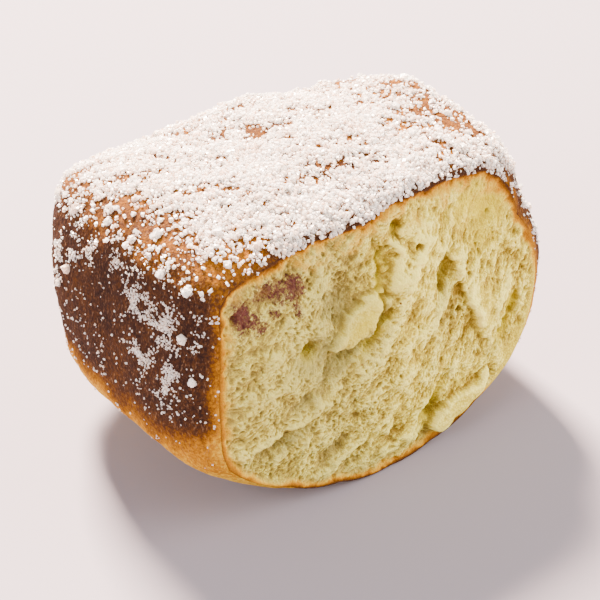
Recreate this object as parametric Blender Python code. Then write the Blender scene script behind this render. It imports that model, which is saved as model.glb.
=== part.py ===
"""A yeast bun pulled off its neighbours: flat sugared top, baked sides, torn crumb face.

Metres in the scene, millimetres in the named sizes. +X runs along the torn face, -Y points
out of it, +Z is up. The bun rests on a small flat spot and its origin is the middle of its
box on the ground.
"""

import math

import bmesh
import bpy
import numpy as np

MM = 0.001

# Overall body
HALF_WIDTH = 45.1
HALF_DEPTH = 33.4
BELT_HEIGHT = 25.0
TOP_HEIGHT = 60.6
CROWN = 1.9
TOP_LEAN = -4.0
TOP_TAPER = 4.0
BACK_FLARE = 0.18
FACE_SLOPE = 7.8

# How square the cross section is: 2 is an ellipse, 8 is nearly a box
UPPER_SQUARENESS = 8.0
LOWER_LEFT_SQUARENESS = 2.0
LOWER_RIGHT_SQUARENESS = 1.7
BACK_TOP_SQUARENESS = 3.5
BACK_SIDE_SQUARENESS = 3.9
BACK_BOTTOM_SQUARENESS = 4.5

# The crust rolls inwards before it reaches the tear
ROLL_LENGTH = 3.6
ROLL_LEFT = 4.4
ROLL_RIGHT = 6.3
ROLL_TOP = 3.5
ROLL_BOTTOM = 2.0

# Outline of the tear, x and z, anticlockwise from the right
TORN_EDGE = (
    (39.9, 30.2), (39.6, 35.7), (37.8, 40.7), (35.0, 44.9), (34.1, 49.9), (31.1, 54.7),
    (27.5, 57.4), (18.4, 59.2), (11.2, 59.0), (2.5, 59.5), (-3.4, 57.4), (-11.1, 57.7),
    (-17.2, 58.3), (-21.7, 57.9), (-28.0, 56.6), (-35.6, 55.3), (-38.3, 52.8), (-38.6, 46.1),
    (-39.4, 40.6), (-40.3, 34.9), (-40.6, 28.9), (-40.9, 22.8), (-39.8, 18.5), (-33.4, 12.4),
    (-26.2, 8.3), (-14.1, 3.6), (-1.2, 1.3), (9.6, 2.4), (22.3, 6.5), (32.4, 12.3),
    (38.0, 21.5),
)
EDGE_REACH = 16.0

# Rises and sags of the top: x, y, radius along x, radius along y, height
TOP_WAVES = (
    (24.0, 19.0, 11.0, 12.0, -3.9),
    (39.0, 4.0, 9.0, 12.0, 2.0),
    (6.0, 21.0, 9.0, 6.0, 0.8),
    (-17.0, 20.0, 7.0, 6.0, -0.8),
    (2.0, -21.0, 17.0, 3.2, -0.9),
    (-20.0, -14.0, 15.0, 8.0, 0.6),
    (14.0, -6.0, 16.0, 7.0, 0.7),
    (-8.0, 7.0, 12.0, 5.0, -0.7),
)

# Soft bulges and hollows of the crumb: x, z, radius along x, radius along z, turn, height
CRUMB_SWELLS = (
    (8.0, 34.0, 10.0, 20.0, -18.0, 2.0),
    (-27.0, 29.0, 12.0, 9.0, 0.0, 1.2),
    (-5.0, 46.5, 4.6, 5.6, 12.0, -3.0),
    (-11.0, 41.0, 4.6, 3.4, 30.0, -2.4),
    (-19.8, 37.8, 2.4, 2.2, 0.0, -3.0),
    (-16.4, 31.4, 3.8, 2.4, 35.0, -1.9),
    (15.6, 37.6, 1.9, 6.4, -10.0, -2.4),
    (27.6, 47.0, 3.6, 6.4, -18.0, -2.2),
    (33.0, 23.5, 3.0, 4.0, -20.0, -1.4),
    (14.2, 11.4, 2.2, 4.2, -28.0, -2.0),
    (-31.0, 50.0, 6.0, 4.0, 0.0, -0.9),
    (-22.0, 13.0, 9.0, 3.0, -20.0, -0.9),
    (0.0, 11.0, 11.0, 4.0, 10.0, -0.9),
    (4.6, 52.6, 1.9, 2.0, 0.0, -1.8),
    (4.2, 48.2, 1.3, 1.9, 0.0, 1.3),
)

# Strands and lips of the crumb: start, end, half width, height
CRUMB_STRANDS = (
    ((17.4, 42.0), (28.0, 20.5), 1.9, 1.7),
    ((14.6, 55.0), (-15.0, 18.0), 3.0, 1.1),
    ((-35.0, 24.5), (-16.5, 27.5), 1.7, 1.2),
    ((1.4, 53.4), (-1.2, 42.4), 0.9, -2.6),
    ((1.2, 41.6), (-5.6, 33.4), 0.9, -1.9),
    ((-5.6, 33.4), (-13.2, 30.6), 0.9, -1.4),
)

# The tongue of dough and the thin flake: corner points and height
TONGUE = ((-0.6, 42.6), (-2.6, 43.2), (-6.6, 39.2), (-14.6, 36.0), (-13.6, 32.2), (-6.2, 34.4))
TONGUE_HEIGHT = 2.3
FLAKE = ((22.6, 13.0), (18.2, 11.6), (13.2, 7.2), (10.6, 4.6), (17.0, 5.4), (22.4, 8.6))
FLAKE_HEIGHT = 1.8

CRUMB_CROWN = 1.4
CRUMB_GRAIN = 0.5
CRUST_GRAIN = 0.3

# Where the body sits: back by this much, and sunk so that its hull is cut flat
BODY_SHIFT = -2.7
REST_CUT = 0.7

# Mesh
EDGE_STEPS = 84
DEPTH_STEPS = 96
BODY_TRIANGLES = 7000
RELIEF_SEED = 11

# Coarse sugar
SUGAR_PIECES = 112
SUGAR_LARGEST = 2.7
SUGAR_SMALLEST = 1.6
SUGAR_SPREAD = 7.5
SUGAR_CHIPS = 4
SUGAR_STAND = 0.05
SUGAR_SEED = 23

CRUST_COLOUR = (0.42, 0.19, 0.07, 1.0)


def ease(value):
    """Smooth step between 0 and 1."""
    held = np.clip(value, 0.0, 1.0)
    return held * held * (3.0 - 2.0 * held)


def value_noise(first, second, size, seed):
    """Smooth noise from -1 to 1 over a plane, with features about `size` across."""
    lattice = np.random.default_rng(seed).uniform(-1.0, 1.0, (64, 64))
    column = np.asarray(first) / size
    row = np.asarray(second) / size
    left = np.floor(column).astype(int)
    low = np.floor(row).astype(int)
    across = ease(column - left)
    upward = ease(row - low)

    def corner(right, top):
        return lattice[(left + right) % 64, (low + top) % 64]

    bottom = corner(0, 0) * (1 - across) + corner(1, 0) * across
    upper = corner(0, 1) * (1 - across) + corner(1, 1) * across
    return bottom * (1 - upward) + upper * upward


def section(across, upward):
    """Unit outline of the body: nearly a box above the belt, a hull below it."""
    rightness = ease((across + 1.0) / 2.0)
    lower = LOWER_LEFT_SQUARENESS * (1 - rightness) + LOWER_RIGHT_SQUARENESS * rightness
    height = ease((upward + 0.6) / 1.2)
    power = lower * (1 - height) + UPPER_SQUARENESS * height
    scale = (np.abs(across) ** power + np.abs(upward) ** power) ** (-1.0 / power)
    return across * scale, upward * scale


def torn_radius(angle):
    """Distance of the tear's outline from the belt's centre at an angle."""
    points = np.array(TORN_EDGE)
    turns = np.arctan2(points[:, 1] - BELT_HEIGHT, points[:, 0])
    radii = np.hypot(points[:, 1] - BELT_HEIGHT, points[:, 0])
    order = np.argsort(turns)
    return np.interp(angle, turns[order], radii[order], period=2 * math.pi)


def raw_side(across, upward, depth):
    """Crust surface before the tear is drawn: depth 0 is the tear, 1 the middle of the back."""
    side, rise = section(across, upward)
    upness = ease((upward + 1.0) / 2.0)
    sideness = np.abs(across) ** 3
    over = BACK_BOTTOM_SQUARENESS * (1 - upness) + BACK_TOP_SQUARENESS * upness
    power = over * (1 - sideness) + BACK_SIDE_SQUARENESS * sideness
    turn = np.clip(depth, 0.0, 1.0) * math.pi / 2
    along, spread = np.sin(turn), np.cos(turn)
    scale = (along ** power + spread ** power) ** (-1.0 / power)
    along, spread = along * scale, spread * scale
    y = -HALF_DEPTH + 2 * HALF_DEPTH * along
    roll = np.exp(-(y + HALF_DEPTH) / ROLL_LENGTH)
    inward = ROLL_LEFT * ease(-across) + ROLL_RIGHT * ease(across)
    x = (HALF_WIDTH - inward * roll) * side * spread
    above = TOP_HEIGHT - BELT_HEIGHT - ROLL_TOP * roll
    below = BELT_HEIGHT - ROLL_BOTTOM * roll
    z = BELT_HEIGHT + np.where(rise > 0, above, below) * rise * spread
    return x, y, z


def shaped(x, y, z, depth):
    """Lean, taper, flare and crown that the whole body shares."""
    share = x / HALF_WIDTH
    level = z / TOP_HEIGHT
    upper = ease((level - 0.5) * 2.0)
    y = y - (1 - depth) ** 2 * FACE_SLOPE * (0.5 - level)
    x = x * (1 + BACK_FLARE * depth)
    x = x + TOP_LEAN * (level - 0.5) - TOP_TAPER * share * upper
    hump = (1 - share ** 2) * (1 - 0.7 * (2 * depth - 1) ** 2)
    z = z + CROWN * ease((level - 0.4) / 0.6) * hump
    return x, y, z


def crust_surface(across, upward, depth):
    """Finished crust surface, with the tear's measured outline at its front."""
    x, y, z = shaped(*raw_side(across, upward, depth), depth)
    front = shaped(*raw_side(across, upward, np.zeros_like(depth)), np.zeros_like(depth))
    angle = np.arctan2(front[2] - BELT_HEIGHT, front[0])
    wanted = torn_radius(angle) / np.hypot(front[2] - BELT_HEIGHT, front[0])
    pull = 1 + (wanted - 1) * np.exp(-(y - front[1]) / EDGE_REACH)
    x = x * pull
    z = BELT_HEIGHT + (z - BELT_HEIGHT) * pull
    topness = ease((z / TOP_HEIGHT - 0.72) / 0.2)
    for wave_x, wave_y, reach_x, reach_y, height in TOP_WAVES:
        away = ((x - wave_x) / reach_x) ** 2 + ((y - wave_y) / reach_y) ** 2
        z = z + height * topness * np.exp(-away)
    return x, y, z


def near_line(x, z, start, end):
    """Distance from a line piece, and how far along it from 0 to 1."""
    run = (end[0] - start[0], end[1] - start[1])
    share = ((x - start[0]) * run[0] + (z - start[1]) * run[1]) / (run[0] ** 2 + run[1] ** 2)
    held = np.clip(share, 0.0, 1.0)
    return np.hypot(x - start[0] - held * run[0], z - start[1] - held * run[1]), held


def inside_depth(x, z, corners):
    """Distance inside a closed outline, negative outside it."""
    nearest = np.full(np.shape(x), 1e9)
    inside = np.zeros(np.shape(x), bool)
    for start, end in zip(corners, corners[1:] + corners[:1]):
        nearest = np.minimum(nearest, near_line(x, z, start, end)[0])
        spans = (start[1] > z) != (end[1] > z)
        rise = end[1] - start[1]
        crossing = start[0] + (z - start[1]) * (end[0] - start[0]) / (rise if rise else 1e-9)
        inside ^= spans & (x < crossing)
    return np.where(inside, nearest, -nearest)


def crumb_relief(x, z, edge):
    """How far the crumb stands out of the tear, faded out over the crust's edge."""
    out = CRUMB_CROWN * ease(edge / 22.0)
    for swell_x, swell_z, reach_x, reach_z, turn, height in CRUMB_SWELLS:
        angle = math.radians(turn)
        dx, dz = x - swell_x, z - swell_z
        first = dx * math.cos(angle) + dz * math.sin(angle)
        second = dz * math.cos(angle) - dx * math.sin(angle)
        out = out + height * np.exp(-((first / reach_x) ** 2 + (second / reach_z) ** 2))
    for start, end, width, height in CRUMB_STRANDS:
        gap, share = near_line(x, z, start, end)
        taper = 0.45 + 0.55 * np.sin(math.pi * np.clip(share, 0.08, 0.92))
        out = out + height * taper * np.exp(-((gap / width) ** 2))
    tongue = inside_depth(x, z, TONGUE)
    out = out + TONGUE_HEIGHT * ease((tongue + 0.5) / 1.2)
    flake = inside_depth(x, z, FLAKE)
    out = out + FLAKE_HEIGHT * ease((flake + 0.4) / 1.0)
    along = x * 0.62 + z * 0.78
    beside = x * 0.78 - z * 0.62
    out = out + CRUMB_GRAIN * value_noise(along, beside * 2.0, 6.0, RELIEF_SEED)
    out = out + CRUMB_GRAIN * 0.7 * value_noise(x, z, 2.6, RELIEF_SEED + 1)
    return out * ease((edge - 0.3) / 3.2)


def crust_grain(x, y, z):
    """Unevenness of the crust."""
    broad = value_noise(x + 0.35 * z, y - 0.5 * z, 11.0, RELIEF_SEED + 2)
    fine = value_noise(x - 0.6 * z, y + 0.4 * z, 4.0, RELIEF_SEED + 3)
    return CRUST_GRAIN * (broad + 0.4 * fine)


def square_ring(steps):
    """Points round the edge of the square from -1 to 1."""
    side = -1.0 + 2.0 * np.arange(steps) / steps
    one = np.ones(steps)
    across = np.concatenate([side, one, -side, -one])
    upward = np.concatenate([-one, side, one, -side])
    return across, upward


def crust_skin(across, upward, depth):
    """Crust surface with its unevenness, which starts a little behind the tear."""
    x, y, z = crust_surface(across, upward, depth)
    swell = 1 + crust_grain(x, y, z) * ease(depth * 20.0) / 35.0
    return np.stack([x * swell, y, BELT_HEIGHT + (z - BELT_HEIGHT) * swell], axis=1)


def crust_part():
    """Vertices and faces of the crust, from the tear to the middle of the back."""
    across, upward = square_ring(EDGE_STEPS)
    around = len(across)
    depth = np.linspace(0.0, 1.0, DEPTH_STEPS + 1)[:-1]
    grid_across = np.tile(across, len(depth))
    grid_upward = np.tile(upward, len(depth))
    grid_depth = np.repeat(depth, around)
    points = crust_skin(grid_across, grid_upward, grid_depth)
    pole = crust_skin(np.zeros(1), np.ones(1), np.ones(1))
    points = np.vstack([points, pole])
    faces = []
    for row in range(len(depth) - 1):
        for column in range(around):
            after = (column + 1) % around
            start = row * around
            beyond = start + around
            faces.append((start + column, beyond + column, beyond + after, start + after))
    last = (len(depth) - 1) * around
    for column in range(around):
        faces.append((last + (column + 1) % around, last + column, len(points) - 1))
    return points, faces


def crumb_part(crust_points):
    """Vertices inside the tear and the faces that close it against the crust's first row."""
    across, upward = square_ring(EDGE_STEPS)
    where = {}
    for index, (column, row) in enumerate(zip(across, upward)):
        key = (round((column + 1) * EDGE_STEPS / 2), round((row + 1) * EDGE_STEPS / 2))
        where[key] = index
    inner = []
    shares = np.linspace(-1.0, 1.0, EDGE_STEPS + 1)
    for column in range(1, EDGE_STEPS):
        for row in range(1, EDGE_STEPS):
            where[(column, row)] = len(crust_points) + len(inner)
            inner.append((shares[column], shares[row]))
    inner = np.array(inner)
    reach = np.maximum(np.abs(inner[:, 0]), np.abs(inner[:, 1]))
    safe = np.where(reach == 0, 1.0, reach)
    rim_x, rim_y, rim_z = crust_surface(
        inner[:, 0] / safe, np.where(reach == 0, 1.0, inner[:, 1] / safe), np.zeros(len(inner))
    )
    x = rim_x * reach
    z = BELT_HEIGHT + (rim_z - BELT_HEIGHT) * reach
    y = -HALF_DEPTH - FACE_SLOPE * (0.5 - z / TOP_HEIGHT)
    edge = (1 - reach) * np.hypot(rim_x, rim_z - BELT_HEIGHT)
    blend = ease(edge / 3.0)
    y = y * blend + rim_y * (1 - blend) - crumb_relief(x, z, edge)
    faces = []
    for column in range(EDGE_STEPS):
        for row in range(EDGE_STEPS):
            corners = ((column, row), (column + 1, row), (column + 1, row + 1), (column, row + 1))
            faces.append(tuple(where[corner] for corner in corners))
    return np.stack([x, y, z], axis=1), faces


def sugar_share(x, y, z, up):
    """How much of the crust is under sugar, 0 to 1: all of the top, patches on the sides."""
    top = ease((up - 0.3) / 0.4)
    patch = ease((value_noise(y, z, 13.0, SUGAR_SEED) - 0.1) / 0.4)
    return np.maximum(top, 0.5 * patch * ease((z - 24.0) / 22.0))


def crust_normal(across, upward, depth):
    """Outward direction of the crust from three neighbouring points."""
    here = crust_skin(across, upward, depth)
    deeper = crust_skin(across, upward, depth + 0.004)
    beside = crust_skin(across - 0.01 * upward, upward + 0.01 * across, depth)
    normal = np.cross(deeper - here, beside - here)
    outward = here - np.array([0.0, 0.0, BELT_HEIGHT])
    normal *= np.sign((normal * outward).sum(axis=1, keepdims=True))
    return here, normal / np.linalg.norm(normal, axis=1, keepdims=True)


def sugar_spots():
    """Centres, outward directions and sizes of the coarse sugar, largest first."""
    random = np.random.default_rng(SUGAR_SEED)
    angle = random.uniform(0.0, 2 * math.pi, 9000)
    reach = np.maximum(np.abs(np.cos(angle)), np.abs(np.sin(angle)))
    across, upward = np.cos(angle) / reach, np.sin(angle) / reach
    depth = random.uniform(0.02, 0.9, len(angle))
    place, outward = crust_normal(across, upward, depth)
    share = sugar_share(place[:, 0], place[:, 1], place[:, 2], outward[:, 2])
    wanted = np.nonzero(random.uniform(size=len(angle)) < share)[0]
    sizes = np.linspace(SUGAR_LARGEST, SUGAR_SMALLEST, SUGAR_PIECES)
    kept = []
    gap = SUGAR_SPREAD
    while len(kept) < SUGAR_PIECES:
        for index in wanted:
            if len(kept) == SUGAR_PIECES:
                break
            if kept and np.linalg.norm(place[kept] - place[index], axis=1).min() < gap:
                continue
            kept.append(index)
        gap *= 0.9
    return place[kept], outward[kept], sizes


def sugar_piece(random, size):
    """Corner points of one blocky crystal with chipped edges."""
    corners = np.array([(a, b, c) for a in (-1, 1) for b in (-1, 1) for c in (-1, 1)], float)
    corners += random.uniform(-0.28, 0.1, corners.shape) * np.sign(corners)
    chips = random.uniform(-1.0, 1.0, (SUGAR_CHIPS, 3))
    chips /= np.abs(chips).max(axis=1, keepdims=True)
    corners = np.vstack([corners, chips * 1.02])
    corners *= np.array([1.0, random.uniform(0.75, 1.0), random.uniform(0.65, 0.9)]) * size / 2.3
    turn, _ = np.linalg.qr(random.normal(size=(3, 3)))
    return corners @ turn


def mesh_object(name, points, faces):
    """Object from points in millimetres."""
    mesh = bpy.data.meshes.new(name)
    mesh.from_pydata((points * MM).tolist(), [], faces)
    mesh.update()
    mesh.validate()
    made = bpy.data.objects.new(name, mesh)
    bpy.context.scene.collection.objects.link(made)
    return made


def apply_modifiers(target):
    """Replaces the object's mesh by what its modifiers make of it."""
    bpy.context.view_layer.update()
    graph = bpy.context.evaluated_depsgraph_get()
    finished = bpy.data.meshes.new_from_object(target.evaluated_get(graph))
    target.modifiers.clear()
    target.data = finished


def flatten_rest(target):
    """Moves every point under the ground up to it, which leaves the flat resting spot."""
    for vertex in target.data.vertices:
        vertex.co.z = max(vertex.co.z, 0.0)


def body():
    """The whole bun without sugar."""
    crust_points, crust_faces = crust_part()
    crumb_points, crumb_faces = crumb_part(crust_points)
    points = np.vstack([crust_points, crumb_points]) - np.array([0.0, BODY_SHIFT, REST_CUT])
    made = mesh_object("bun", points, crust_faces + crumb_faces)
    triangles = sum(len(face) - 2 for face in crust_faces + crumb_faces)
    thin = made.modifiers.new("thin", "DECIMATE")
    thin.ratio = BODY_TRIANGLES / triangles
    apply_modifiers(made)
    flatten_rest(made)
    return made


def add_sugar(target):
    """Fuses the coarse sugar to the crust with one union."""
    loose = bpy.data.collections.new("sugar")
    random = np.random.default_rng(SUGAR_SEED + 1)
    for number, (place, outward, size) in enumerate(zip(*sugar_spots())):
        centre = place + outward * size * SUGAR_STAND
        points = sugar_piece(random, size) + centre - np.array([0.0, BODY_SHIFT, REST_CUT])
        grid = bmesh.new()
        for point in points:
            grid.verts.new((point * MM).tolist())
        bmesh.ops.convex_hull(grid, input=grid.verts)
        unused = [vertex for vertex in grid.verts if not vertex.link_faces]
        bmesh.ops.delete(grid, geom=unused, context="VERTS")
        bmesh.ops.recalc_face_normals(grid, faces=grid.faces)
        mesh = bpy.data.meshes.new(f"sugar_{number}")
        grid.to_mesh(mesh)
        grid.free()
        loose.objects.link(bpy.data.objects.new(f"sugar_{number}", mesh))
    union = target.modifiers.new("sugar", "BOOLEAN")
    union.operation = "UNION"
    union.operand_type = "COLLECTION"
    union.collection = loose
    union.solver = "MANIFOLD"
    apply_modifiers(target)
    for piece in list(loose.objects):
        bpy.data.objects.remove(piece, do_unlink=True)
    bpy.data.collections.remove(loose)


def finish(target):
    """Smooth shading and the crust's colour."""
    for face in target.data.polygons:
        face.use_smooth = True
    material = bpy.data.materials.new("crust")
    material.use_nodes = True
    shader = material.node_tree.nodes["Principled BSDF"]
    shader.inputs["Base Color"].default_value = CRUST_COLOUR
    shader.inputs["Roughness"].default_value = 0.75
    target.data.materials.clear()
    target.data.materials.append(material)


for old in list(bpy.data.objects):
    bpy.data.objects.remove(old, do_unlink=True)
bun = body()
add_sugar(bun)
finish(bun)
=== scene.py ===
"""Looks of a pull-apart yeast bun: baked crust, torn crumb face and a coat of sugar.

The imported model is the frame. Its one node is replaced by a crust, a crumb slab and several
kinds of sugar. Sizes in the classes are millimetres unless they say otherwise, and meshes are
made in metres.
"""

import enum
import logging
import math
from collections.abc import Callable
from dataclasses import dataclass, field

import bmesh
import bpy
import numpy as np
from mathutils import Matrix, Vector


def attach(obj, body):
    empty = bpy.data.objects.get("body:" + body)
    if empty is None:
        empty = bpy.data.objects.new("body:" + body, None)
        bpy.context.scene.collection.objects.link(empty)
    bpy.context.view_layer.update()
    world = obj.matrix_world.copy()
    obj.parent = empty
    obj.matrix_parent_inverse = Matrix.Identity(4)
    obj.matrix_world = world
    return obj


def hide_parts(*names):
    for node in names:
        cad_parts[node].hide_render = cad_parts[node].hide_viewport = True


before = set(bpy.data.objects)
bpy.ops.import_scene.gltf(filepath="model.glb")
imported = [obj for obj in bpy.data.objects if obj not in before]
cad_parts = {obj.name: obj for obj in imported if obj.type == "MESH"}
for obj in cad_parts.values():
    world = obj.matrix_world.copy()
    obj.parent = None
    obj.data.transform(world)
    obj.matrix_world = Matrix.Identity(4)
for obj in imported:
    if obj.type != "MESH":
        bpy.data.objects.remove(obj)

log = logging.getLogger("yeast_bun")

MM = 0.001
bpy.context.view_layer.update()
NODE = "bun"
BODY = "root"
DOUGH_SPECULAR = 0.02

Array = np.ndarray
Point2 = tuple[float, float]
Point3 = tuple[float, float, float]
Colour = tuple[float, float, float, float]
Socket = bpy.types.NodeSocket
Shape = tuple[float, ...]
Plain = tuple[tuple[str, object], ...]


def ease(value: Array) -> Array:
    """Smooth step from 0 to 1, held outside that range."""
    held = np.clip(value, 0.0, 1.0)
    return held * held * (3.0 - 2.0 * held)


def between(corner: Callable[[int, int], Array], across: Array, upward: Array) -> Array:
    """Smooth blend of the values at the four corners of a cell.

    Args:
        corner: Gives the value at a corner: 0 or 1 to the right, 0 or 1 up.
        across: Share of the way from left to right.
        upward: Share of the way from bottom to top.

    Returns:
        The blended values.
    """
    bottom = corner(0, 0) * (1 - across) + corner(1, 0) * across
    upper = corner(0, 1) * (1 - across) + corner(1, 1) * across
    return bottom * (1 - upward) + upper * upward


def turned(x: Array, z: Array, degrees: float) -> tuple[Array, Array]:
    """Coordinates along a direction and across it.

    Args:
        x: First coordinate.
        z: Second coordinate.
        degrees: The direction.

    Returns:
        The two new coordinates.
    """
    angle = math.radians(degrees)
    return x * math.cos(angle) + z * math.sin(angle), z * math.cos(angle) - x * math.sin(angle)


class Noise:
    """Seeded noise over a plane, from a repeating table of random numbers."""

    TABLE = 128
    HEIGHT = 1.6
    SHIFT = 17.3
    FADE = 0.55

    def __init__(self, seed: int) -> None:
        """Draws the tables.

        Args:
            seed: Seed of the random draw.
        """
        random = np.random.default_rng(seed)
        self.turns = random.uniform(0.0, 2.0 * math.pi, (self.TABLE, self.TABLE))
        self.spots = random.uniform(0.1, 0.9, (2, self.TABLE, self.TABLE))
        self.levels = random.uniform(0.0, 1.0, (self.TABLE, self.TABLE))

    def swell(self, u: Array, v: Array) -> Array:
        """Smooth hills and dips.

        Args:
            u: First coordinate, in features.
            v: Second coordinate, in features.

        Returns:
            Heights from about -1 to 1.
        """
        left, low = np.floor(u).astype(int), np.floor(v).astype(int)
        du, dv = u - left, v - low

        def corner(right: int, top: int) -> Array:
            """Slope of one corner's hill at the point."""
            turn = self.turns[(left + right) % self.TABLE, (low + top) % self.TABLE]
            return np.cos(turn) * (du - right) + np.sin(turn) * (dv - top)

        return self.HEIGHT * between(corner, ease(du), ease(dv))

    def octaves(self, u: Array, v: Array, count: int) -> Array:
        """Hills with finer hills on them.

        Args:
            u: First coordinate, in the largest features.
            v: Second coordinate, in the largest features.
            count: Number of sizes, each half the one before.

        Returns:
            Heights from about -1 to 1.
        """
        total = np.zeros(np.shape(u))
        for level in range(count):
            shift = self.SHIFT * level
            total += self.swell(u * 2**level + shift, v * 2**level - shift) * self.FADE**level
        return total

    def cells(self, u: Array, v: Array) -> tuple[Array, Array, Array]:
        """Bubbles round scattered centres.

        Args:
            u: First coordinate, in bubbles.
            v: Second coordinate, in bubbles.

        Returns:
            The distances to the nearest and second nearest centre, and the nearest's level.
        """
        left, low = np.floor(u).astype(int), np.floor(v).astype(int)
        first = np.full(np.shape(u), 9.0)
        second = np.full(np.shape(u), 9.0)
        level = np.zeros(np.shape(u))
        for right in (-1, 0, 1):
            for top in (-1, 0, 1):
                where = ((left + right) % self.TABLE, (low + top) % self.TABLE)
                gap = np.hypot(
                    left + right + self.spots[0][where] - u, low + top + self.spots[1][where] - v
                )
                nearer = gap < first
                second = np.where(nearer, first, np.minimum(second, gap))
                level = np.where(nearer, self.levels[where], level)
                first = np.where(nearer, gap, first)
        return first, second, level


def near_line(x: Array, z: Array, start: Point2, end: Point2) -> tuple[Array, Array]:
    """Distance from a straight piece of line.

    Args:
        x: First coordinate.
        z: Second coordinate.
        start: One end.
        end: The other end.

    Returns:
        The distance, and how far along the piece from 0 to 1.
    """
    run = (end[0] - start[0], end[1] - start[1])
    share = ((x - start[0]) * run[0] + (z - start[1]) * run[1]) / (run[0] ** 2 + run[1] ** 2)
    held = np.clip(share, 0.0, 1.0)
    return np.hypot(x - start[0] - held * run[0], z - start[1] - held * run[1]), held


def inside_depth(x: Array, z: Array, corners: tuple[Point2, ...]) -> Array:
    """Distance inside a closed outline.

    Args:
        x: First coordinate.
        z: Second coordinate.
        corners: Corners of the outline in order.

    Returns:
        The distance to the nearest side, negative outside.
    """
    nearest = np.full(np.shape(x), 1e9)
    inside = np.zeros(np.shape(x), bool)
    for start, end in zip(corners, corners[1:] + corners[:1]):
        nearest = np.minimum(nearest, near_line(x, z, start, end)[0])
        spans = (start[1] > z) != (end[1] > z)
        rise = end[1] - start[1] or 1e-9
        inside ^= spans & (x < start[0] + (z - start[1]) * (end[0] - start[0]) / rise)
    return np.where(inside, nearest, -nearest)


def mound(x: Array, z: Array, shape: Shape) -> Array:
    """Soft round hill with height 1 in its middle.

    Args:
        x: First coordinate.
        z: Second coordinate.
        shape: Middle's two coordinates, two radii and the turn in degrees.

    Returns:
        Heights from 0 to 1.
    """
    middle_x, middle_z, reach_x, reach_z, turn = shape
    first, second = turned(x - middle_x, z - middle_z, turn)
    return np.exp(-((first / reach_x) ** 2 + (second / reach_z) ** 2))


def value_noise(first: Array, second: Array, size: float, seed: int) -> Array:
    """Smooth noise as the solid's own source has it, so that both skins agree.

    Args:
        first: First coordinate.
        second: Second coordinate.
        size: Width of its features.
        seed: Seed of its table.

    Returns:
        Values from -1 to 1.
    """
    lattice = np.random.default_rng(seed).uniform(-1.0, 1.0, (64, 64))
    column, row = first / size, second / size
    left, low = np.floor(column).astype(int), np.floor(row).astype(int)

    def corner(right: int, top: int) -> Array:
        """Value at one corner of the lattice."""
        return lattice[(left + right) % 64, (low + top) % 64]

    return between(corner, ease(column - left), ease(row - low))


def square_ring(steps: int) -> tuple[Array, Array]:
    """Points round the edge of the square from -1 to 1.

    Args:
        steps: Points on each side.

    Returns:
        The points' two coordinates.
    """
    side = -1.0 + 2.0 * np.arange(steps) / steps
    one = np.ones(steps)
    return np.concatenate([side, one, -side, -one]), np.concatenate([-one, side, one, -side])


def index_rows(*columns: Array) -> list[tuple[int, ...]]:
    """Faces from the arrays of their first, second and further points."""
    return [tuple(row) for row in np.stack(columns, axis=1).tolist()]


def ring_faces(before: Array, beyond: Array) -> list[tuple[int, ...]]:
    """Quads between two rings on the way from the front of a body to its back.

    Args:
        before: Indices of the ring nearer the front's middle.
        beyond: Indices of the next ring.

    Returns:
        One tuple of four indices for each quad, facing outward.
    """
    return index_rows(before, beyond, np.roll(beyond, -1), np.roll(before, -1))


def make_piece(
    name: str, points: Array, faces: list[tuple[int, ...]], masks: dict[str, Array]
) -> bpy.types.Object:
    """Smooth mesh object with its masks as point attributes.

    Args:
        name: Name of the object.
        points: One row of three coordinates in metres for each point.
        faces: Indices of each face's points.
        masks: One value for each point under each name.

    Returns:
        The object, linked to the scene.
    """
    mesh = bpy.data.meshes.new(name)
    mesh.from_pydata(points.tolist(), [], faces)
    mesh.update()
    mesh.shade_smooth()
    for label, values in masks.items():
        layer = mesh.attributes.new(label, "FLOAT", "POINT")
        layer.data.foreach_set("value", np.asarray(values, np.float32))
    made = bpy.data.objects.new(name, mesh)
    bpy.context.scene.collection.objects.link(made)
    return made


def hand_over(piece: bpy.types.Object, material: bpy.types.Material) -> None:
    """Dresses a finished piece and ties it to the frame.

    Args:
        piece: The finished piece.
        material: Its material.
    """
    piece.data.materials.clear()
    piece.data.materials.append(material)
    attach(piece, BODY)
    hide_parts(NODE)
    triangles = len(piece.data.loops) - 2 * len(piece.data.polygons)
    log.info("%s: %d triangles", piece.name, triangles)


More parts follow.
